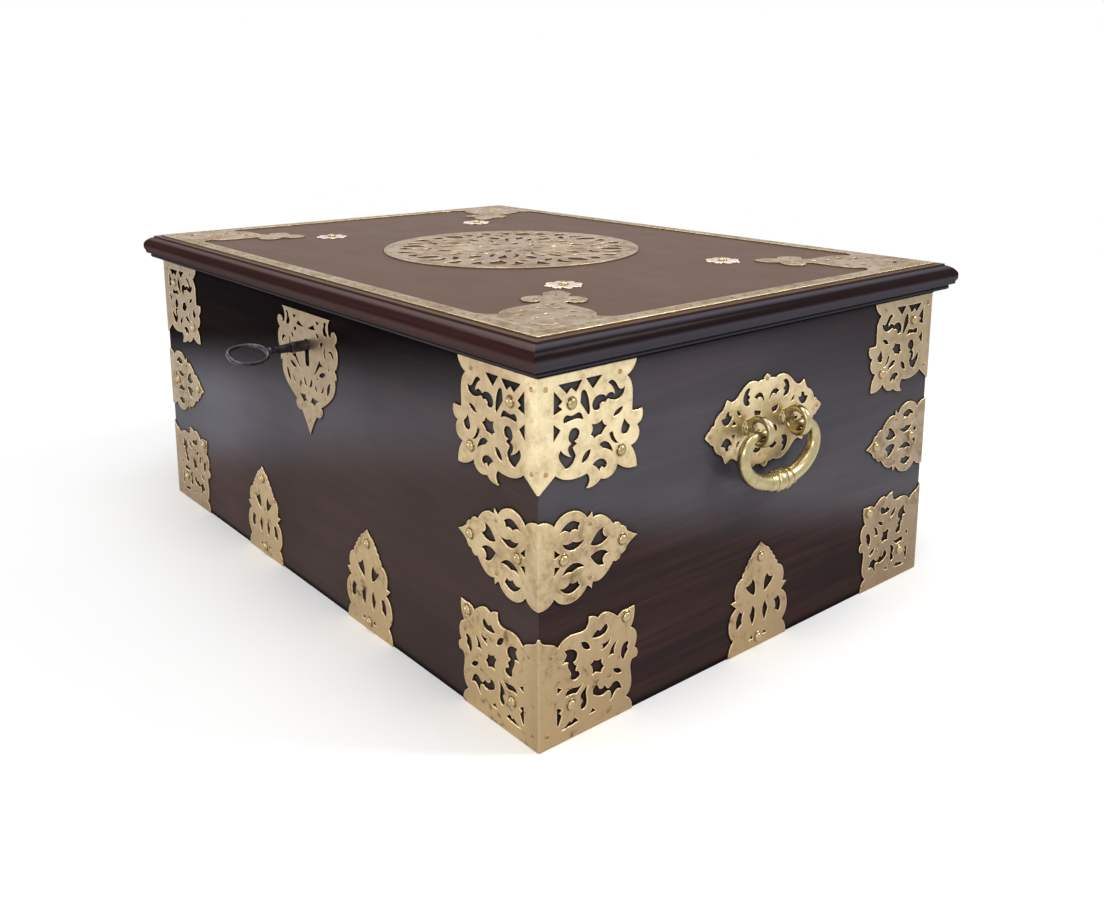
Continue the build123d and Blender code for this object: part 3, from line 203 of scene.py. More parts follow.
class Finish:
    """A material under construction."""

    def __init__(self, name):
        self.material = bpy.data.materials.new(name)
        self.material.use_nodes = True
        self.tree = self.material.node_tree
        self.tree.nodes.clear()
        self.place = self.node("ShaderNodeTexCoord", output="Object")

    def node(self, kind, settings=None, output=0, **inputs):
        """Adds a node: its settings first, then the value or link of each socket.

        A socket goes by its name, with _ for a space, or by i and its number.
        """
        node = self.tree.nodes.new(kind)
        for name, value in (settings or {}).items():
            setattr(node, name, value)
        for name, value in inputs.items():
            entry = node.inputs[int(name[1:]) if name[1:].isdigit() else name.replace("_", " ")]
            if isinstance(value, Signal):
                self.tree.links.new(value.socket, entry)
            elif entry.type == "RGBA":
                entry.default_value = (*value[:3], 1)
            else:
                entry.default_value = value
        return Signal(self.tree, node.outputs[output])

    def part_of_place(self, axis):
        """The place on the piece along X, Y or Z, in metres."""
        return self.node("ShaderNodeSeparateXYZ", output=axis, Vector=self.place)

    def mapped(self, scale, turn=(0, 0, 0)):
        return self.node("ShaderNodeMapping", Vector=self.place, Scale=scale, Rotation=turn)

    def noise(self, scale, vector=None, detail=3, roughness=0.5, distortion=0):
        return self.node("ShaderNodeTexNoise", Vector=vector or self.place, Scale=scale,
                         Detail=detail, Roughness=roughness, Distortion=distortion)

    def step(self, value, low, high, to_low=0, to_high=1):
        """A smooth rise from to_low to to_high while the value goes from low to high."""
        return self.node("ShaderNodeMapRange", {"interpolation_type": "SMOOTHSTEP"}, Value=value,
                         From_Min=low, From_Max=high, To_Min=to_low, To_Max=to_high)

    def mix(self, mask, first, second):
        """A colour between two colours."""
        return self.node("ShaderNodeMix", {"data_type": "RGBA"}, output=2, i0=mask, i6=first,
                         i7=second)

    def open_air(self, reach, samples):
        """1 where the surface lies open, less in its corners within reach."""
        return self.node("ShaderNodeAmbientOcclusion", {"samples": samples}, output=1,
                         Distance=reach)

    def bump(self, height, distance, normal=None):
        extra = {"Normal": normal} if normal else {}
        return self.node("ShaderNodeBump", Height=height, Distance=distance, **extra)

    def done(self, **inputs):
        return self.close(self.node("ShaderNodeBsdfPrincipled", **inputs))

    def close(self, shader):
        output = self.tree.nodes.new("ShaderNodeOutputMaterial")
        self.tree.links.new(shader.socket, output.inputs["Surface"])
        return self.material


def scaled(colour, *factors):
    """A colour with its parts multiplied, by one factor or by one for each part."""
    if len(factors) == 1:
        factors = factors * 3
    return [part * factor for part, factor in zip(colour, factors)]


def painted_reflection_band(finish, grain, flow, lines, foot, head, lean, left, thin):
    """The mask of a painted reflection along the board, and the mask of its milky part.

    It is a band along the board. Foot and head are heights, where it starts and where it is
    full. Lean is how far each of the two tips on a metre of board, left is how much stays
    below the foot and above the head, and thin is how much stays at the grain's far end.
    """
    along_board, height = finish.part_of_place(grain), finish.part_of_place(2)
    at_foot, at_head = [height + tip * along_board for tip in lean]
    left_below, left_above = left
    milky = finish.step(at_foot, *foot)
    cast = left_below + (1 - left_below) * milky
    cast = cast * finish.step(at_head, *head, left_above, 1)
    thinner = finish.step(along_board, -0.35, 0.35, 1, thin)
    clouds = finish.noise(3.1, detail=4, roughness=0.55) * 0.8 + flow * 0.2
    cast = cast * thinner * finish.step(clouds, 0.36, 0.62, 0.75, 1) * (0.93 + 0.14 * lines)
    return cast, milky * thinner


def crest_highlights(finish, crests):
    """The mask of the painted highlights on a moulding's crests: where each starts, where it is
    full, how strong.
    """
    height = finish.part_of_place(2)
    masks = [finish.step(height, start, full, 0, strength) for start, full, strength in crests]
    mask = masks[0]
    for other in masks[1:]:
        mask = mask.larger(other)
    return mask


def within(finish, box):
    """1 inside an upright box, 0 outside it."""
    inside = None
    for axis, (low, high) in enumerate(zip(*box)):
        between = abs(finish.part_of_place(axis) - (low + high) / 2) < (high - low) / 2
        inside = between if inside is None else inside * between
    return inside


def lacquered_wood(name, grain, deep, streak, gloss=0.5, coat=0.035, specular=0, painted_reflection=None,
                   crests=None, highlight_colour=None, raw_box=None):
    """Satin lacquer. Grain is the axis along the wood, and raw_box stays bare.

    Painted_reflection holds the strength and the shape of a painted milky reflection band, and
    crests are a moulding's edges, with a painted highlight and more gloss than the rest.
    """
    look = bpy.context.scene.chest_wood
    finish = Finish(name)

    def along(length, width):
        return finish.mapped([1 / length if axis == grain else 1 / width for axis in range(3)])

    flow = finish.noise(1, along(0.45, 0.032), detail=5, roughness=0.6, distortion=0.5)
    lines = finish.noise(1, along(0.28, 0.0045), detail=4, roughness=0.6, distortion=0.3)
    pores = finish.noise(1, along(0.05, 0.0011), detail=2)
    broad = finish.noise(3.2, detail=2)
    streaks = finish.step(flow * 0.62 + lines * 0.38, 0.44, 0.66)
    streaks = streaks * finish.step(broad, 0.30, 0.70, 0.4, 1)
    colour = finish.mix(streaks, deep, streak)
    # Painted reflection: a milky band at half height, brown below it
    if painted_reflection:
        strength, shape = painted_reflection
        cast, milky = painted_reflection_band(finish, grain, flow, lines, **shape)
        colour = finish.mix(cast * strength, colour, finish.mix(milky, look.fade, look.painted_reflection))
        coat = cast * milky * 0.3 + coat
    if crests:
        crest_highlight = crest_highlights(finish, crests)
        # Painted highlight on the moulding's crests
        colour = finish.mix(crest_highlight, colour, highlight_colour)
        coat = (0.22 + crest_highlight) * coat
    smear = finish.noise(14, detail=4, roughness=0.6)
    open_pores = finish.step(pores, 0.30, 0.42, 1, 0)
    rough = 0.40 - 0.24 * gloss + 0.16 * smear + 0.05 * open_pores
    waves = finish.noise(5.5, detail=2) + pores * 0.03 + lines * 0.03
    shade = finish.step(finish.open_air(CORNER_SHADE, 8), 0.66, 0.98, 0.2, 1)
    colour = finish.mix(shade, scaled(deep, 0.3), colour)
    coat = shade * coat
    if raw_box:
        inside = within(finish, raw_box)
        bare = finish.mix(finish.step(flow, 0.35, 0.7), look.raw, scaled(look.raw, 0.55))
        colour = finish.mix(inside, colour, bare)
        rough = rough + inside * 0.3
        coat = coat - inside * coat
    return finish.done(Base_Color=colour, Roughness=rough, Coat_Weight=coat, Coat_Roughness=0.18,
                       Specular_IOR_Level=specular, Normal=finish.bump(waves, look.ripple))


def painted_light_and_shade(finish, colour, age, bright, dull):
    """Painted light and shade: darker and browner at the foot, darker at the left, the back, low on
    the right end and high elsewhere, palest at the top of the front right corner.
    """
    look = bpy.context.scene.chest_brass
    across, depth, height = [finish.part_of_place(axis) for axis in range(3)]
    # Each step goes from where a change starts to where it is full, in metres
    # Painted shade: darker, browner brass at the foot
    foot = finish.step(height, 0.16, 0.04)
    colour = finish.mix(foot, colour, scaled(bright, 0.83, 0.77, 0.715))
    on_end = finish.step(across, 0.37, 0.402)
    # Painted shade at the left and the back, low on the right end and high on the other sides
    left_or_back = finish.step(across, -0.05, -0.37).larger(finish.step(depth, -0.02, 0.27))
    shaded_rows = (on_end * finish.step(height, 0.24, 0.14, 0, 0.55)
                + (1 - on_end) * finish.step(height, 0.20, 0.30, 0, 0.5))
    for shade_mask in (left_or_back, shaded_rows):
        shaded_colour = finish.node("ShaderNodeMix", {"data_type": "RGBA", "blend_type": "MULTIPLY"},
                             output=2, i0=1, i6=colour, i7=look.shaded)
        colour = finish.mix(shade_mask, colour, shaded_colour)
    # Painted light: the palest brass at the top of the front right corner
    palest = finish.mix(age, scaled(bright, *look.rubbed_and_painted_light), scaled(dull, *look.rubbed_and_painted_light))
    painted_light_mask = on_end * finish.step(height, 0.17, 0.29) * finish.step(depth, 0.2, -0.15)
    return finish.mix(painted_light_mask, colour, palest)


def aged_brass(name, polish=0.0, dirt=0.45, tint=(1, 1, 1), rubbed_and_painted_light=True):
    """Pale brass, browner in spots and in its corners; below half polish its edges get pale rims,
    partly wear and partly painted highlight.

    Polish 1 is a bright dome, dirt is what lies in the corners, and rubbed_and_painted_light brass
    is less tarnished higher up and takes painted light and shade from its place on the chest.
    """
    look = bpy.context.scene.chest_brass
    finish = Finish(name)
    bright, dull = [scaled(base, *tint) for base in (look.polished, look.aged)]
    cloud = finish.noise(34, detail=4, roughness=0.65)
    spots = finish.noise(110, detail=4, roughness=0.7)
    hair = finish.noise(1, finish.mapped((60, 60, 900), turn=(0.5, 0.7, 0.2)), detail=2)
    age = finish.step(cloud * 0.58 + spots * 0.42, 0.42, 0.60) * (1 - 0.75 * polish)
    brown = finish.step(spots * 0.6 + cloud * 0.4, 0.54, 0.66) * (0.5 - 0.4 * polish)
    if rubbed_and_painted_light:
        height = finish.part_of_place(2)
        age = age * finish.step(height, 0.10, 0.26, 1, 0.5)
        brown = brown * finish.step(height, 0.05, 0.26, 2.0, 0.6)
    colour = finish.mix(age, bright, dull)
    # Painted light and shade by the fitting's place on the chest
    if rubbed_and_painted_light:
        colour = painted_light_and_shade(finish, colour, age, bright, dull)
    rounded = None
    if polish < 0.5:
        rounded = finish.node("ShaderNodeBevel", {"samples": 6}, Radius=ROUNDED_EDGE)
        flat = finish.node("ShaderNodeNewGeometry", output=1)
        level = finish.node("ShaderNodeVectorMath", {"operation": "DOT_PRODUCT"}, output=1,
                            i0=rounded, i1=flat)
        # Pale rims along the edges: partly wear, partly painted highlight
        rim_wear_and_highlight = finish.step(level, 0.985, 0.86)
        colour = finish.mix(rim_wear_and_highlight * 0.85, colour, [min(1, c * 1.65) for c in bright])
    crevice = finish.step(finish.open_air(CREVICE, 6), 0.25, 0.7, dirt, 0)
    colour = finish.mix(brown.larger(crevice), colour, look.tarnish)
    rough = 0.33 - 0.12 * polish + 0.16 * age + 0.05 * hair
    worked = finish.noise(130, detail=2) + finish.noise(28, detail=1) * 2.2 + hair * 0.12
    return finish.done(Base_Color=colour, Metallic=1, Roughness=rough,
                       Normal=finish.bump(worked, 0.00022 - 0.00021 * polish, rounded))


def blackened_iron(name):
    """Forged iron, dark and scaled, with a little rust."""
    look = bpy.context.scene.chest_iron
    finish = Finish(name)
    scale = finish.noise(70, detail=5, roughness=0.65)
    pits = finish.noise(420, detail=3)
    colour = finish.mix(finish.step(scale, 0.4, 0.7), look.iron, scaled(look.iron, 2.6))
    rust = finish.step(finish.noise(38, detail=4), 0.58, 0.7)
    colour = finish.mix(rust * 0.35, colour, (0.10, 0.045, 0.022))
    return finish.done(Base_Color=colour, Metallic=0.85 - rust * 0.3,
                       Roughness=0.20 + 0.2 * scale,
                       Normal=finish.bump(scale + pits * 0.35, 0.00022))


def wear(node_names, material):
    """Gives CAD nodes a material through their objects' own slots."""
    for name in node_names:
        piece = NODES[name]
        piece.data.materials.clear()
        piece.data.materials.append(material)


# ---------------------------------------------------------------------------------------------
# Modelling

def wire(name, points):
    """A new piece, left in edit mode: one vertex, drawn out from point to point."""
    bpy.ops.object.select_all(action="DESELECT")
    bpy.ops.mesh.primitive_plane_add(size=0.001)
    piece = bpy.context.object
    piece.name = name
    bpy.ops.object.mode_set(mode="EDIT")
    bpy.ops.mesh.select_all(action="SELECT")
    bpy.ops.mesh.merge(type="CENTER")
    bpy.ops.transform.translate(value=points[0])
    for before, after in zip(points, points[1:]):
        way = Vector(after) - Vector(before)
        bpy.ops.mesh.extrude_vertices_move(TRANSFORM_OT_translate={"value": way})
    return piece


def close_up(piece, angle):
    """Merges doubles, turns the faces outward and smooths edges flatter than the angle."""
    bpy.ops.mesh.select_all(action="SELECT")
    bpy.ops.mesh.remove_doubles(threshold=1e-6)
    bpy.ops.mesh.normals_make_consistent(inside=False)
    bpy.ops.object.mode_set(mode="OBJECT")
    bpy.ops.object.shade_smooth_by_angle(angle=math.radians(angle))
    return piece


def turned(name, profile, steps=32, angle=40):
    """A piece turned about Z, from its profile of radius and height in millimetres."""
    piece = wire(name, [(radius * MM, 0, height * MM) for radius, height in profile])
    bpy.ops.mesh.select_all(action="SELECT")
    bpy.ops.mesh.spin(steps=steps, angle=2 * math.pi, center=(0, 0, 0), axis=(0, 0, 1))
    return close_up(piece, angle)


def loft(name, stations, across, sides, closed=False):
    """A rod through rings. A station is a centre, the rod's way there and a radius.

    Across is square to the whole rod, and a closed rod runs back into its first ring.
    """
    bpy.ops.object.select_all(action="DESELECT")
    bpy.ops.mesh.primitive_circle_add(vertices=3, radius=0.001)
    piece = bpy.context.object
    piece.name = name
    bpy.ops.object.mode_set(mode="EDIT")
    bpy.ops.mesh.select_all(action="SELECT")
    bpy.ops.mesh.delete(type="VERT")

    def select_rings(*rings):
        bpy.ops.mesh.select_all(action="DESELECT")
        form = bmesh.from_edit_mesh(piece.data)
        form.verts.ensure_lookup_table()
        for ring in rings:
            for vert in form.verts[ring * sides:(ring + 1) * sides]:
                vert.select = True
        form.select_flush(True)
        bmesh.update_edit_mesh(piece.data)

    for number, (centre, way, radius) in enumerate(stations):
        facing = Matrix((across, way.cross(across), way)).transposed()
        bpy.ops.mesh.primitive_circle_add(vertices=sides, radius=radius, location=centre,
                                          rotation=facing.to_euler())
        if number:
            select_rings(number - 1, number)
            bpy.ops.mesh.bridge_edge_loops()
    last = len(stations) - 1
    if closed:
        select_rings(last, 0)
        bpy.ops.mesh.bridge_edge_loops()
    else:
        for ring in (0, last):
            select_rings(ring)
            bpy.ops.mesh.edge_face_add()
    return close_up(piece, 35)


def joined(piece, *others):
    bpy.ops.object.select_all(action="DESELECT")
    for other in others:
        other.select_set(True)
    piece.select_set(True)
    bpy.context.view_layer.objects.active = piece
    bpy.ops.object.join()
    return piece


def spread(piece, places):
    """Puts a copy of the piece, with a mesh of its own, at each place and joins them."""
    shape = piece.data.copy()
    piece.data.transform(places[0])
    copies = []
    for place in places[1:]:
        twin = piece.copy()
        twin.data = shape.copy()
        twin.data.transform(place)
        bpy.context.collection.objects.link(twin)
        copies.append(twin)
    return joined(piece, *copies)


def fit(piece, body, material, node):
    """Rides the piece on its body in place of its CAD node and gives it its material."""
    piece.data.materials.clear()
    piece.data.materials.append(material)
    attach(piece, body)
    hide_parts(node)


def on_side(side, along, height, out=0.0):
    """The way from the origin to a place on an upright side, in millimetres.

    Along is to the right of the side's middle, seen from outside, and out is outward.
    """
    right, outward = SIDE_WAYS[side]
    spot = right * along * MM + UP * height * MM + outward * (SIDE_REACH[side] + out * MM)
    return Matrix.Translation(spot) @ Matrix((right, UP, outward)).transposed().to_4x4()


# ---------------------------------------------------------------------------------------------
# Operators, one for each group of like pieces

class CHEST_OT_boards(bpy.types.Operator):
    """Lacquers the case's boards, outside only, with the grain along each board"""
    bl_idname = "chest.boards"
    bl_label = "Case Boards"

    margin = 0.2 * MM
    # Painted milky reflection bands on the boards: the strength of each and its shape
    long_reflection_band = (0.76, {"foot": (0.12, 0.20), "head": (0.30, 0.21), "lean": (-0.26, -0.16),
                         "left": (0.72, 0), "thin": 0.64})
    end_reflection_band = (0.38, {"foot": (0.10, 0.165), "head": (0.38, 0.24), "lean": (0.23, 0.23),
                        "left": (0.3, 0.4), "thin": 1})

    def execute(self, context):
        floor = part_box("bottom_board")[1].z - MM
        half_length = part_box("right_board")[0].x + self.margin
        half_depth = self.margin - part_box("front_board")[1].y
        cavity = ((-half_length, -half_depth, floor), (half_length, half_depth, LID_TOP))
        look = context.scene.chest_wood
        # Painted shade: the front, back and bottom boards take a darker copy of the end boards'
        # lacquer and streaks
        darker = [scaled(shade, 0.4) for shade in (look.lacquer, look.streak)]
        along_x = lacquered_wood("lacquered_long_board", 0, *darker, painted_reflection=self.long_reflection_band,
                                 raw_box=cavity)
        along_y = lacquered_wood("lacquered_end_board", 1, look.lacquer, look.streak,
                                 painted_reflection=self.end_reflection_band, raw_box=cavity)
        wear(["front_board", "back_board", "bottom_board"], along_x)
        wear(["right_board", "left_board"], along_y)
        return {"FINISHED"}


class CHEST_OT_lid(bpy.types.Operator):
    """Lacquers the lid's panel, bare underneath, and the mouldings of the lid and the case"""
    bl_idname = "chest.lid"
    bl_label = "Lid and Mouldings"

    bare_inset = 12 * MM
    bare_depth = 3 * MM

    def execute(self, context):
        look = context.scene.chest_wood
        wear(["lid_panel"], lacquered_wood("lacquered_lid", 0, look.top, scaled(look.top, 1.18),
                                           0.1, specular=0.0285, raw_box=self.underside()))
        lid_foot, lid_head = [end.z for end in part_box("lid_moulding_front")]
        rim_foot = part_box("rim_moulding_front")[0].z
        # The end mouldings take the dark bluish lacquer and the front and back ones the red-brown:
        # the ends' darker, bluer colour is a painted dark reflection
        for grain, way, sides, deep, coat, highlight_tint, shoulder, lip in (
                (0, "long", ("front", "back"), look.moulding, 0.12, look.fade, 0.55, 0.24),
                (1, "end", ("right", "left"), look.lacquer, 0.13, look.painted_reflection, 0.36, 0.27)):
            # Painted highlights: the lid moulding's shoulder and lower lip, and the rim's nose
            lid_crests = ((lid_head - 4 * MM, lid_head - 1 * MM, shoulder),
                          (lid_foot + 10.9 * MM, lid_foot + 6.9 * MM, lip))
            rim_crests = ((rim_foot + 4.5 * MM, rim_foot + 7 * MM, 0.45),)
            wear([f"lid_moulding_{side}" for side in sides],
                 lacquered_wood(f"lacquered_{way}_moulding", grain, deep, scaled(deep, 1.9), 1,
                                coat, crests=lid_crests, highlight_colour=highlight_tint))
            wear([f"rim_moulding_{side}" for side in sides],
                 lacquered_wood(f"lacquered_{way}_rim", grain, scaled(deep, 0.5), deep, 1, 0.17,
                                crests=rim_crests, highlight_colour=look.painted_reflection))
        return {"FINISHED"}

    def underside(self):
        """The box that holds the bare wood under the lid's panel."""
        low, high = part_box("lid_panel")
        inset = Vector((self.bare_inset, self.bare_inset, 0))
        low, high = low + inset, high - inset
        return (low.x, low.y, low.z - 0.01), (high.x, high.y, low.z + self.bare_depth)


class CHEST_OT_plates(bpy.types.Operator):
    """Ages the pierced brass plates, the border strips and the flush pins"""
    bl_idname = "chest.plates"
    bl_label = "Pierced Plates"

    def execute(self, context):
        names = [f"{level}_bracket_{corner}" for level in ("upper", "middle", "lower")
                 for corner in CORNERS]
        names += [name for name in NODES if name.startswith("leaf_mount")]
        names += ["handle_plate_right", "handle_plate_left"]
        wear(names, aged_brass("aged_sheet_brass"))
        wear(["escutcheon_plate"], aged_brass("aged_escutcheon_brass", tint=(0.66, 0.64, 0.68)))
        wear(["case_pins"], aged_brass("dull_brass_pin", dirt=0.97, tint=(0.56, 0.51, 0.44)))
        wear([f"lid_corner_{corner}" for corner in CORNERS] + ["lid_medallion"],
             aged_brass("rosy_sheet_brass", tint=(0.62, 0.58, 0.64), rubbed_and_painted_light=False))
        wear(["lid_border_strips"],
             aged_brass("dull_strip_brass", tint=(0.60, 0.59, 0.60), rubbed_and_painted_light=False))
        wear(["lid_pins"],
             aged_brass("dark_brass_pin", dirt=0.9, tint=(0.36, 0.33, 0.30), rubbed_and_painted_light=False))
        return {"FINISHED"}


class CHEST_OT_studs(bpy.types.Operator):
    """Turns a domed stud for every bracket and leaf mount, and a smaller one for the lid"""
    bl_idname = "chest.studs"
    bl_label = "Domed Studs"

    # From the case's corner and from the bracket's foot, in millimetres
    bracket_studs = {"upper": ((34.5, 77.8), (91, 25.3)), "middle": ((26, 41), (94, 41)),
                     "lower": ((35, 32), (100, 93))}
    # From the foot of a leaf mount, in millimetres
    leaf_studs = (96.5, 9.5)
    lid_radius = 5.5

    def execute(self, context):
        bright = aged_brass("polished_stud_brass", 0.9, 0.97, (0.74, 0.735, 0.69), False)
        case = turned("case_stud_heads", self.profile(context.scene.chest_brass.stud / MM), 28)
        fit(spread(case, self.places()), "case", bright, "case_studs")
        lid = turned("lid_stud_heads", self.profile(self.lid_radius), 28)
        places = [Matrix.Translation((x, y, LID_TOP + PLATE * MM)) for x, y in ROSETTES]
        fit(spread(lid, places), "lid", bright, "lid_studs")
        return {"FINISHED"}

    def profile(self, radius):
        """A thin rolled brim, a fine groove and a full dome, in millimetres."""
        width, rise, foot = radius * 0.8, radius * 0.52, 0.35
        dome = [(width * math.cos(turn), foot + rise * math.sin(turn))
                for turn in [math.radians(angle) for angle in range(0, 90, 10)]]
        brim = [(0, 0), (radius - 0.15, 0), (radius, 0.15), (radius, 0.4), (radius - 0.2, 0.62),
                (radius - 0.5, 0.55), (radius * 0.85, 0.12), (width, 0.08)]
        return brim + dome + [(0, foot + rise)]

    def places(self):
        """The case's studs: two in each wing of a bracket, two in each leaf mount."""
        spots = []
        for side in SIDE_WAYS:
            for level, studs in self.bracket_studs.items():
                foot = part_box(f"{level}_bracket_front_right")[0].z / MM
                for across, up in studs:
                    for hand in (1, -1):
                        along = hand * (SIDE_RUN[side] / MM - across)
                        spots.append(on_side(side, along, foot + up, PLATE))
        leaves = [("front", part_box(f"leaf_mount_front_{way}")) for way in ("left", "right")]
        leaves += [(side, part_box(f"leaf_mount_{side}")) for side in ("right", "left")]
        for side, (low, high) in leaves:
            along = (low.x + high.x) / 2 / MM if side == "front" else 0
            spots += [on_side(side, along, up, PLATE) for up in self.leaf_studs]
        return spots


class CHEST_OT_rosettes(bpy.types.Operator):
    """Raises eight petals round a disc and sets one rosette near each corner of the lid"""
    bl_idname = "chest.rosettes"
    bl_label = "Lid Rosettes"

    petals = 8
    petal_radius = 7
    petal_centre = 13

    def execute(self, context):
        disc = turned("lid_rosette_petals",
                      [(0, 0), (12, 0), (12.4, 0.4), (11.6, 0.9), (0, 1.5)])
        petal = self.petal()
        spread(petal, [Matrix.Rotation(math.radians(360 / self.petals * (number + 0.5)), 4, "Z")
                       for number in range(self.petals)])
        joined(disc, petal)
        places = [Matrix.Translation((x, y, LID_TOP)) for x, y in ROSETTES]
        rosy = aged_brass("rosy_rosette_brass", 0.4, 0.5, (1.35, 1.35, 1.9), False)
        fit(spread(disc, places), "lid", rosy, "lid_rosettes")
        return {"FINISHED"}

    def petal(self):
        """One pillowed petal, out along X from the rosette's centre."""
        bpy.ops.object.select_all(action="DESELECT")
        bpy.ops.mesh.primitive_circle_add(vertices=20, radius=self.petal_radius * MM,
                                          fill_type="NGON")
        petal = bpy.context.object
        bpy.ops.object.mode_set(mode="EDIT")
        bpy.ops.mesh.select_all(action="SELECT")
        bpy.ops.transform.resize(value=(1, 0.72, 1))
        bpy.ops.transform.translate(value=(self.petal_centre * MM, 0, 0.1 * MM))
        bpy.ops.mesh.extrude_region_move(TRANSFORM_OT_translate={"value": (0, 0, 0.9 * MM)})
        bpy.ops.mesh.inset(thickness=0.9 * MM, depth=0.45 * MM)
        bpy.ops.mesh.inset(thickness=1.5 * MM, depth=0.3 * MM)
        bpy.ops.mesh.poke()
        return close_up(petal, 60)


class CHEST_OT_handles(bpy.types.Operator):
    """Turns the eye bolts and draws the bails, each a swelling rod with a turned grip"""
    bl_idname = "chest.handles"
    bl_label = "Bail Handles"

    # In millimetres: the eyes' height and places, then the rod, from its pins to its grip
    height = 237
    half_spread = 28
    stand = 19.5
    pivot = 3
    pin_points = (19, 23, 27, 31, 35)
    drop = 52
    half_width = 54
    shoulder = 19
    reach = 50
    pin_radius = 4.7
    swelling = 3.1
    # The turned grip: the rod's radius at each distance from its middle
    grip = {18.5: 7.9, 17.2: 8.0, 16.8: 8.9, 15.8: 9.2, 14.8: 8.9, 14.4: 8.1, 12.5: 8.7, 10.4: 9.2,
            8.9: 9.0, 8.5: 8.2, 8.0: 9.6, 7.2: 10.5, 6.4: 10.5, 5.6: 9.6, 5.1: 8.6, 4.6: 9.3,
            3.2: 9.9, 1.4: 10.3}
    # An eye's ring: how much nearer than the pins it stands, its radius and its half section
    ring_inset = 1.4
    ring_radius = 12.1
    ring_section = (3.75, 4.6)

    def execute(self, context):
        handle_brass = aged_brass("polished_handle_brass", 0.75, 0.8, (0.76, 0.82, 0.78), False)
        eyes = [on_side(side, way * self.half_spread, self.height) for side in ("right", "left")
                for way in (-1, 1)]
        fit(spread(self.eye(), eyes), "case", handle_brass, "handle_eyes")
        for side in ("right", "left"):
            bail = loft(f"bail_rod_{side}", self.stations(), UP, 28)
            bail.data.transform(on_side(side, 0, self.height - self.pivot, self.stand))
            fit(bail, f"bail_{side}", handle_brass, f"bail_handle_{side}")
        return {"FINISHED"}

    def eye(self):
        """A bolt with a moulded collar, and the thick ring that it ends in."""
        post = turned("eye_bolts", [(0, -16.5), (4, -16.5), (4, PLATE), (8.7, PLATE), (8.7, 2.4),
                                    (8.3, 3), (7.1, 3.3), (6.8, 3.9), (7, 4.4), (6.4, 5.1),
                                    (5.4, 5.6), (4.9, 6.6), (5.2, 8.2), (6.2, 9.6), (0, 9.6)])
        centre = self.stand - self.ring_inset
        half_height, half_width = self.ring_section
        section = [(half_width * math.sin(turn) * MM, 0,
                    (centre + self.ring_radius + half_height * math.cos(turn)) * MM)
                   for turn in [math.radians(angle) for angle in range(0, 360, 30)]]
        hoop = wire("eye_hoop", section)
        bpy.ops.mesh.select_all(action="SELECT")
        bpy.ops.mesh.edge_face_add()
        bpy.ops.mesh.delete(type="ONLY_FACE")
        bpy.ops.mesh.select_all(action="SELECT")
        bpy.ops.mesh.spin(steps=40, angle=2 * math.pi, center=(0, 0, centre * MM),
                          axis=(1, 0, 0))
        close_up(hoop, 60)
        return joined(post, hoop)

    def stations(self):
        """Centre, direction and radius of the rod, end to end, in metres."""
        shoulder, fall = self.shoulder, self.drop - self.shoulder
        inset = self.half_width - self.reach
        line = [(x, 0) for x in self.pin_points]
        line += [(self.half_width - shoulder + shoulder * math.sin(turn),
                  shoulder * math.cos(turn) - shoulder)
                 for turn in [math.radians(angle) for angle in range(10, 91, 10)]]
        line += [(inset + self.reach * math.cos(turn), -shoulder - fall * math.sin(turn))
                 for turn in [math.radians(angle) for angle in range(6, 71, 6)]]
        plain = len(line)
        line += [(x, -shoulder - fall * math.sqrt(1 - (max(0, x - inset) / self.reach) ** 2))
                 for x in self.grip]
        half = []
        for number, (x, z) in enumerate(line):
            after = line[min(number + 1, len(line) - 1)]
            before = line[max(number - 1, 0)]
            way = Vector((after[0] - before[0], after[1] - before[1], 0)).normalized()
            if number >= plain:
                radius = self.grip[x]
            else:
                swell = min(1, max(0, number / plain - 0.1) * 1.15)
                radius = self.pin_radius + self.swelling * math.sin(math.pi / 2 * swell) ** 2
            half.append((Vector((x, z, 0)), way, radius))
        other = [(Vector((-spot.x, spot.y, 0)), Vector((way.x, -way.y, 0)), radius)
                 for spot, way, radius in reversed(half)]
        return [(spot * MM, way, radius * MM) for spot, way, radius in half + other]


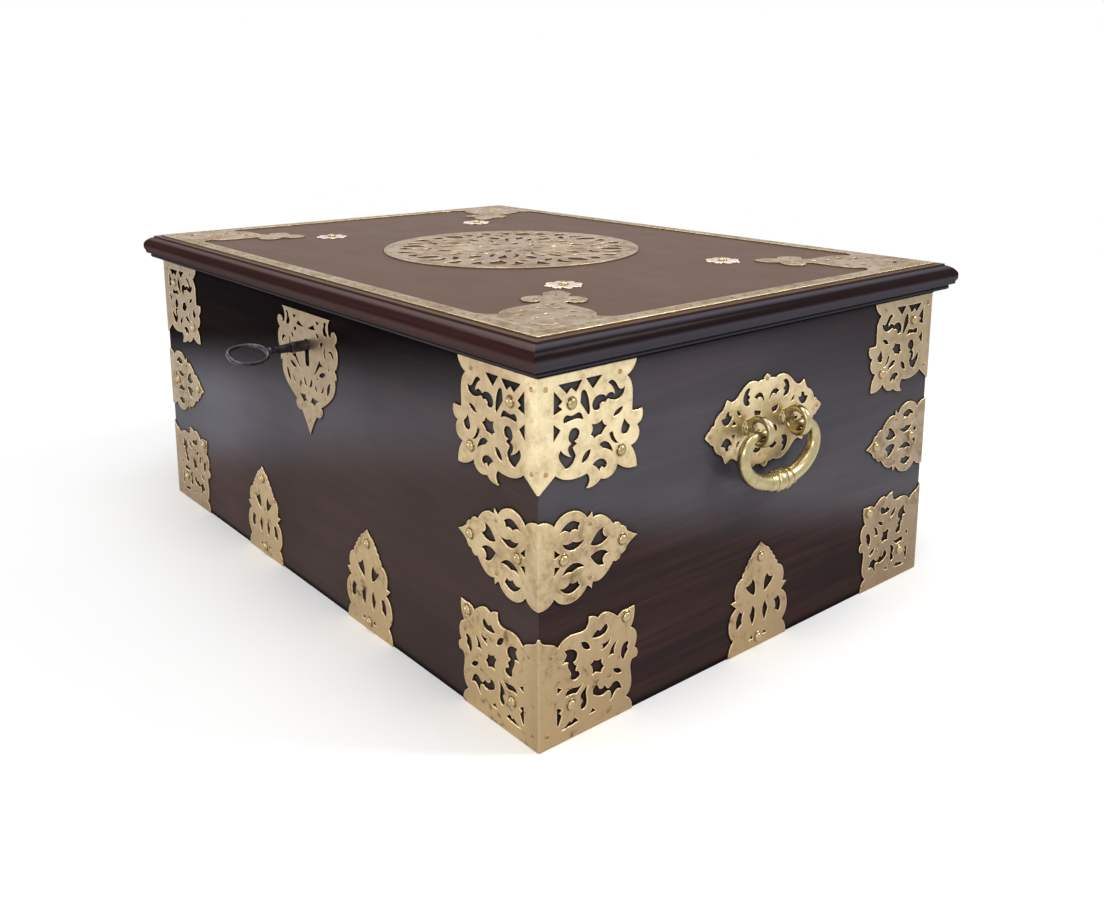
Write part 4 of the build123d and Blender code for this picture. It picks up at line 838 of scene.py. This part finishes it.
class CHEST_OT_key(bpy.types.Operator):
    """Forges the key: a thick barrel, two fine collars, a tapered neck, a bit and an oval bow"""
    bl_idname = "chest.key"
    bl_label = "Key"

    # The keyhole's place on the front, in millimetres, and the key's turn in it, in degrees
    offset = 8
    height = 286
    turned_by = 67
    # The bow: where it starts, its length, width and wire's radius, and how square it is
    bow_foot = 44.5
    bow = (46.4, 37.8, 2.5)
    bow_power = 0.86
    # The bit: its width along the key, its reach, what its cuts leave of that, its thickness
    bit_width = 10
    bit_reach = 22.5
    bit_core = 16.5
    bit_thickness = 4.5
    half_cut = 0.8

    def execute(self, context):
        tip = -(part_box("key")[1].y + HALF_DEPTH) / MM
        shoulder = -(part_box("lock_case")[1].y + HALF_DEPTH) / MM + 2
        profile = [(0, tip), (3, tip), (3, shoulder), (5.5, shoulder), (5.5, 1), (6, 1.3),
                   (5.9, 14), (5.7, 15.2), (6.3, 15.9), (6.3, 16.6), (5.5, 17.2), (5.5, 17.7),
                   (6.3, 18.3), (6.3, 19), (5.4, 19.8), (5.2, 21), (4.7, 27), (4.1, 34), (3.9, 39),
                   (4.3, 42), (4.6, 43.8), (4.1, 45.6), (2.6, 46.6), (0, 46.9)]
        key = turned("iron_key", profile, 28, 35)
        key = joined(key, self.bit(), self.loop())
        turn = Matrix.Rotation(math.radians(self.turned_by - 90), 4, "Z")
        key.data.transform(on_side("front", self.offset, self.height) @ turn)
        fit(key, "key", blackened_iron("forged_key_iron"), "key")
        return {"FINISHED"}

    def loop(self):
        """The oval bow, thinner at its sides, where the hand wears it."""
        length, width, wire_radius = self.bow
        reach, side = length / 2 - wire_radius, width / 2 - wire_radius
        stations = []
        for angle in range(0, 360, 9):
            turn = math.radians(angle)
            z, x = [math.copysign(abs(part) ** self.bow_power, part)
                    for part in (math.cos(turn), math.sin(turn))]
            way = Vector((side * math.cos(turn), 0, -reach * math.sin(turn))).normalized()
            thick = wire_radius * (0.86 + 0.14 * abs(math.cos(turn)))
            centre = Vector((side * x, 0, self.bow_foot + length / 2 + reach * z))
            stations.append((centre * MM, way, thick * MM))
        return loft("key_bow", stations, Vector((0, 1, 0)), 16, closed=True)

    def bit(self):
        """The flag that throws the bolt, with its two ward cuts."""
        low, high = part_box("lock_bolt")
        middle = -((low.y + high.y) / 2 + HALF_DEPTH) / MM
        back, front = middle - self.bit_width / 2, middle + self.bit_width / 2
        outline = [(0, back), (self.bit_reach, back)]
        for third in (1, 2):
            cut = back + self.bit_width * third / 3
            outline += [(self.bit_reach, cut - self.half_cut), (self.bit_core, cut - self.half_cut),
                        (self.bit_core, cut + self.half_cut), (self.bit_reach, cut + self.half_cut)]
        outline += [(self.bit_reach, front), (0, front)]
        depth = -self.bit_thickness / 2 * MM
        flag = wire("key_bit", [(x * MM, depth, z * MM) for x, z in outline])
        bpy.ops.mesh.select_all(action="SELECT")
        bpy.ops.mesh.edge_face_add()
        thickness = (0, self.bit_thickness * MM, 0)
        bpy.ops.mesh.extrude_region_move(TRANSFORM_OT_translate={"value": thickness})
        return close_up(flag, 30)


class CHEST_OT_ironwork(bpy.types.Operator):
    """Blackens the lock and the screws, and dulls the hinges"""
    bl_idname = "chest.ironwork"
    bl_label = "Lock and Hinges"

    def execute(self, context):
        iron = blackened_iron("blackened_iron")
        wear(["lock_plate", "lock_case", "lock_bolt", "lock_strike", "lock_screws",
              "strike_screws", "handle_nuts", "lower_hinge_screws", "upper_hinge_screws"], iron)
        wear(["upper_hinge_leaves", "lower_hinge_leaves", "hinge_pins"],
             aged_brass("plain_hinge_brass", 0.2, 0.6, rubbed_and_painted_light=False))
        return {"FINISHED"}


class CHEST_OT_stage(bpy.types.Operator):
    """Lays the floor, hangs the lamps and sets the camera"""
    bl_idname = "chest.stage"
    bl_label = "Stage"

    # Each lamp's place, width in metres and power in watts
    lamps = {"window": ((2.1, 2.2, 2.6), 1.0, 85), "overhead": ((0.3, -0.4, 3.2), 2.2, 60),
             "side_fill": ((1.1, -1.1, 0.75), 0.45, 4), "front_fill": ((-1.3, -2.3, 0.3), 0.9, 11),
             "left_glint": ((-1.9, -0.8, 2.4), 0.45, 16)}
    lamp_target = Vector((0, 0, 0.2))
    # The camera: azimuth, elevation and roll in degrees, its place, and in pixels the image's
    # size, the focal length and the point of the image that it faces
    camera_turn = (50.68, 11.05, -0.2)
    camera_place = (1.040928, -0.809936, 0.55528)
    image_size = (1104, 900)
    focal = 1077.07
    facing = (538.5, 300)
    sensor = 36

    def execute(self, context):
        look = context.scene.chest_stage
        context.scene.view_settings.view_transform = "Standard"
        bpy.ops.object.select_all(action="DESELECT")
        bpy.ops.mesh.primitive_plane_add(size=30, location=(0, 0, -0.0002))
        floor = context.object
        floor.name = "floor"
        floor.data.materials.append(self.pale_floor(look.floor))
        self.sky(context, look.sky)
        for name, (place, width, power) in self.lamps.items():
            self.lamp(name, place, width, power)
        self.camera(context)
        return {"FINISHED"}

    def seen(self, tree):
        """1 for the rays that show the background: the camera's, mirrored and clear ones."""
        paths = tree.nodes.new("ShaderNodeLightPath")
        mask = Signal(tree, paths.outputs["Is Camera Ray"])
        for name in ("Is Glossy Ray", "Is Transmission Ray"):
            mask = mask.larger(Signal(tree, paths.outputs[name]))
        return mask

    def pale_floor(self, paleness):
        """Keeps the shadow near the chest and goes over to plain white far from it."""
        finish = Finish("pale_floor")
        speckle = finish.noise(9, detail=3)
        near = finish.node("ShaderNodeBsdfPrincipled", Roughness=0.8, Specular_IOR_Level=0.1,
                           Base_Color=finish.mix(speckle, [paleness] * 3,
                                                 [paleness * 0.985] * 3))
        far = finish.node("ShaderNodeEmission", Strength=1)
        reach = finish.node("ShaderNodeVectorMath", {"operation": "LENGTH"}, output=1,
                            Vector=finish.place)
        mask = self.seen(finish.tree) * finish.step(reach, 0.62, 1.7)
        both = finish.node("ShaderNodeMixShader", i0=mask, i1=near, i2=far)
        return finish.close(both)

    def sky(self, context, strength):
        """Plain white for the background and its mirror images, and weaker light on all else."""
        world = bpy.data.worlds.new("plain_light")
        context.scene.world = world
        world.use_nodes = True
        tree = world.node_tree
        tree.nodes.clear()
        light = self.seen(tree) * (1 - strength) + strength
        background = tree.nodes.new("ShaderNodeBackground")
        background.inputs["Color"].default_value = (1, 1, 1, 1)
        tree.links.new(light.socket, background.inputs["Strength"])
        output = tree.nodes.new("ShaderNodeOutputWorld")
        tree.links.new(background.outputs[0], output.inputs["Surface"])

    def lamp(self, name, place, width, power):
        bpy.ops.object.light_add(type="AREA", location=place)
        lamp = bpy.context.object
        lamp.name = name
        lamp.data.size = width
        lamp.data.energy = power
        way = self.lamp_target - lamp.location
        lamp.rotation_euler = way.to_track_quat("-Z", "Y").to_euler()

    def camera(self, context):
        bpy.ops.object.camera_add()
        camera = context.object
        context.scene.camera = camera
        azimuth, elevation, roll = [math.radians(angle) for angle in self.camera_turn]
        back = Vector((math.sin(azimuth) * math.cos(elevation),
                       -math.cos(azimuth) * math.cos(elevation), math.sin(elevation)))
        level_right = Vector((math.cos(azimuth), math.sin(azimuth), 0))
        level_up = back.cross(level_right)
        right = level_right * math.cos(roll) + level_up * math.sin(roll)
        up = level_up * math.cos(roll) - level_right * math.sin(roll)
        axes = Matrix((right, up, back)).transposed().to_4x4()
        camera.matrix_world = Matrix.Translation(self.camera_place) @ axes
        width, height = self.image_size
        camera.data.sensor_width = self.sensor
        camera.data.lens = self.focal / width * self.sensor
        camera.data.shift_x = (width / 2 - self.facing[0]) / width
        camera.data.shift_y = (self.facing[1] - height / 2) / width
        camera.data.clip_start = 0.01
        camera.data.clip_end = 100


class CHEST_PT_panel(bpy.types.Panel):
    """Lists the chest's pieces in the order that they are made"""
    bl_idname = "CHEST_PT_panel"
    bl_label = "Brass Bound Chest"
    bl_space_type = "VIEW_3D"
    bl_region_type = "UI"
    bl_category = "Chest"

    def draw(self, context):
        for name in ("chest_wood", "chest_brass", "chest_iron", "chest_stage"):
            box = self.layout.box()
            group = getattr(context.scene, name)
            for field in group.bl_rna.properties:
                if not field.is_readonly and field.identifier != "name":
                    box.prop(group, field.identifier)
        for operator in OPERATORS:
            self.layout.operator(operator.bl_idname)


GROUPS = {"chest_wood": ChestWoodProperties, "chest_brass": ChestBrassProperties,
          "chest_iron": ChestIronProperties, "chest_stage": ChestStageProperties}
OPERATORS = (CHEST_OT_boards, CHEST_OT_lid, CHEST_OT_plates, CHEST_OT_studs,
             CHEST_OT_rosettes, CHEST_OT_handles, CHEST_OT_key, CHEST_OT_ironwork,
             CHEST_OT_stage)


def register():
    for name, group in GROUPS.items():
        bpy.utils.register_class(group)
        setattr(bpy.types.Scene, name, bpy.props.PointerProperty(type=group))
    for operator in OPERATORS:
        bpy.utils.register_class(operator)
    bpy.utils.register_class(CHEST_PT_panel)


def unregister():
    bpy.utils.unregister_class(CHEST_PT_panel)
    for operator in reversed(OPERATORS):
        bpy.utils.unregister_class(operator)
    for name, group in GROUPS.items():
        delattr(bpy.types.Scene, name)
        bpy.utils.unregister_class(group)


def main():
    register()
    for operator in OPERATORS:
        namespace, name = operator.bl_idname.split(".")
        getattr(getattr(bpy.ops, namespace), name)()


if __name__ == "__main__":
    main()
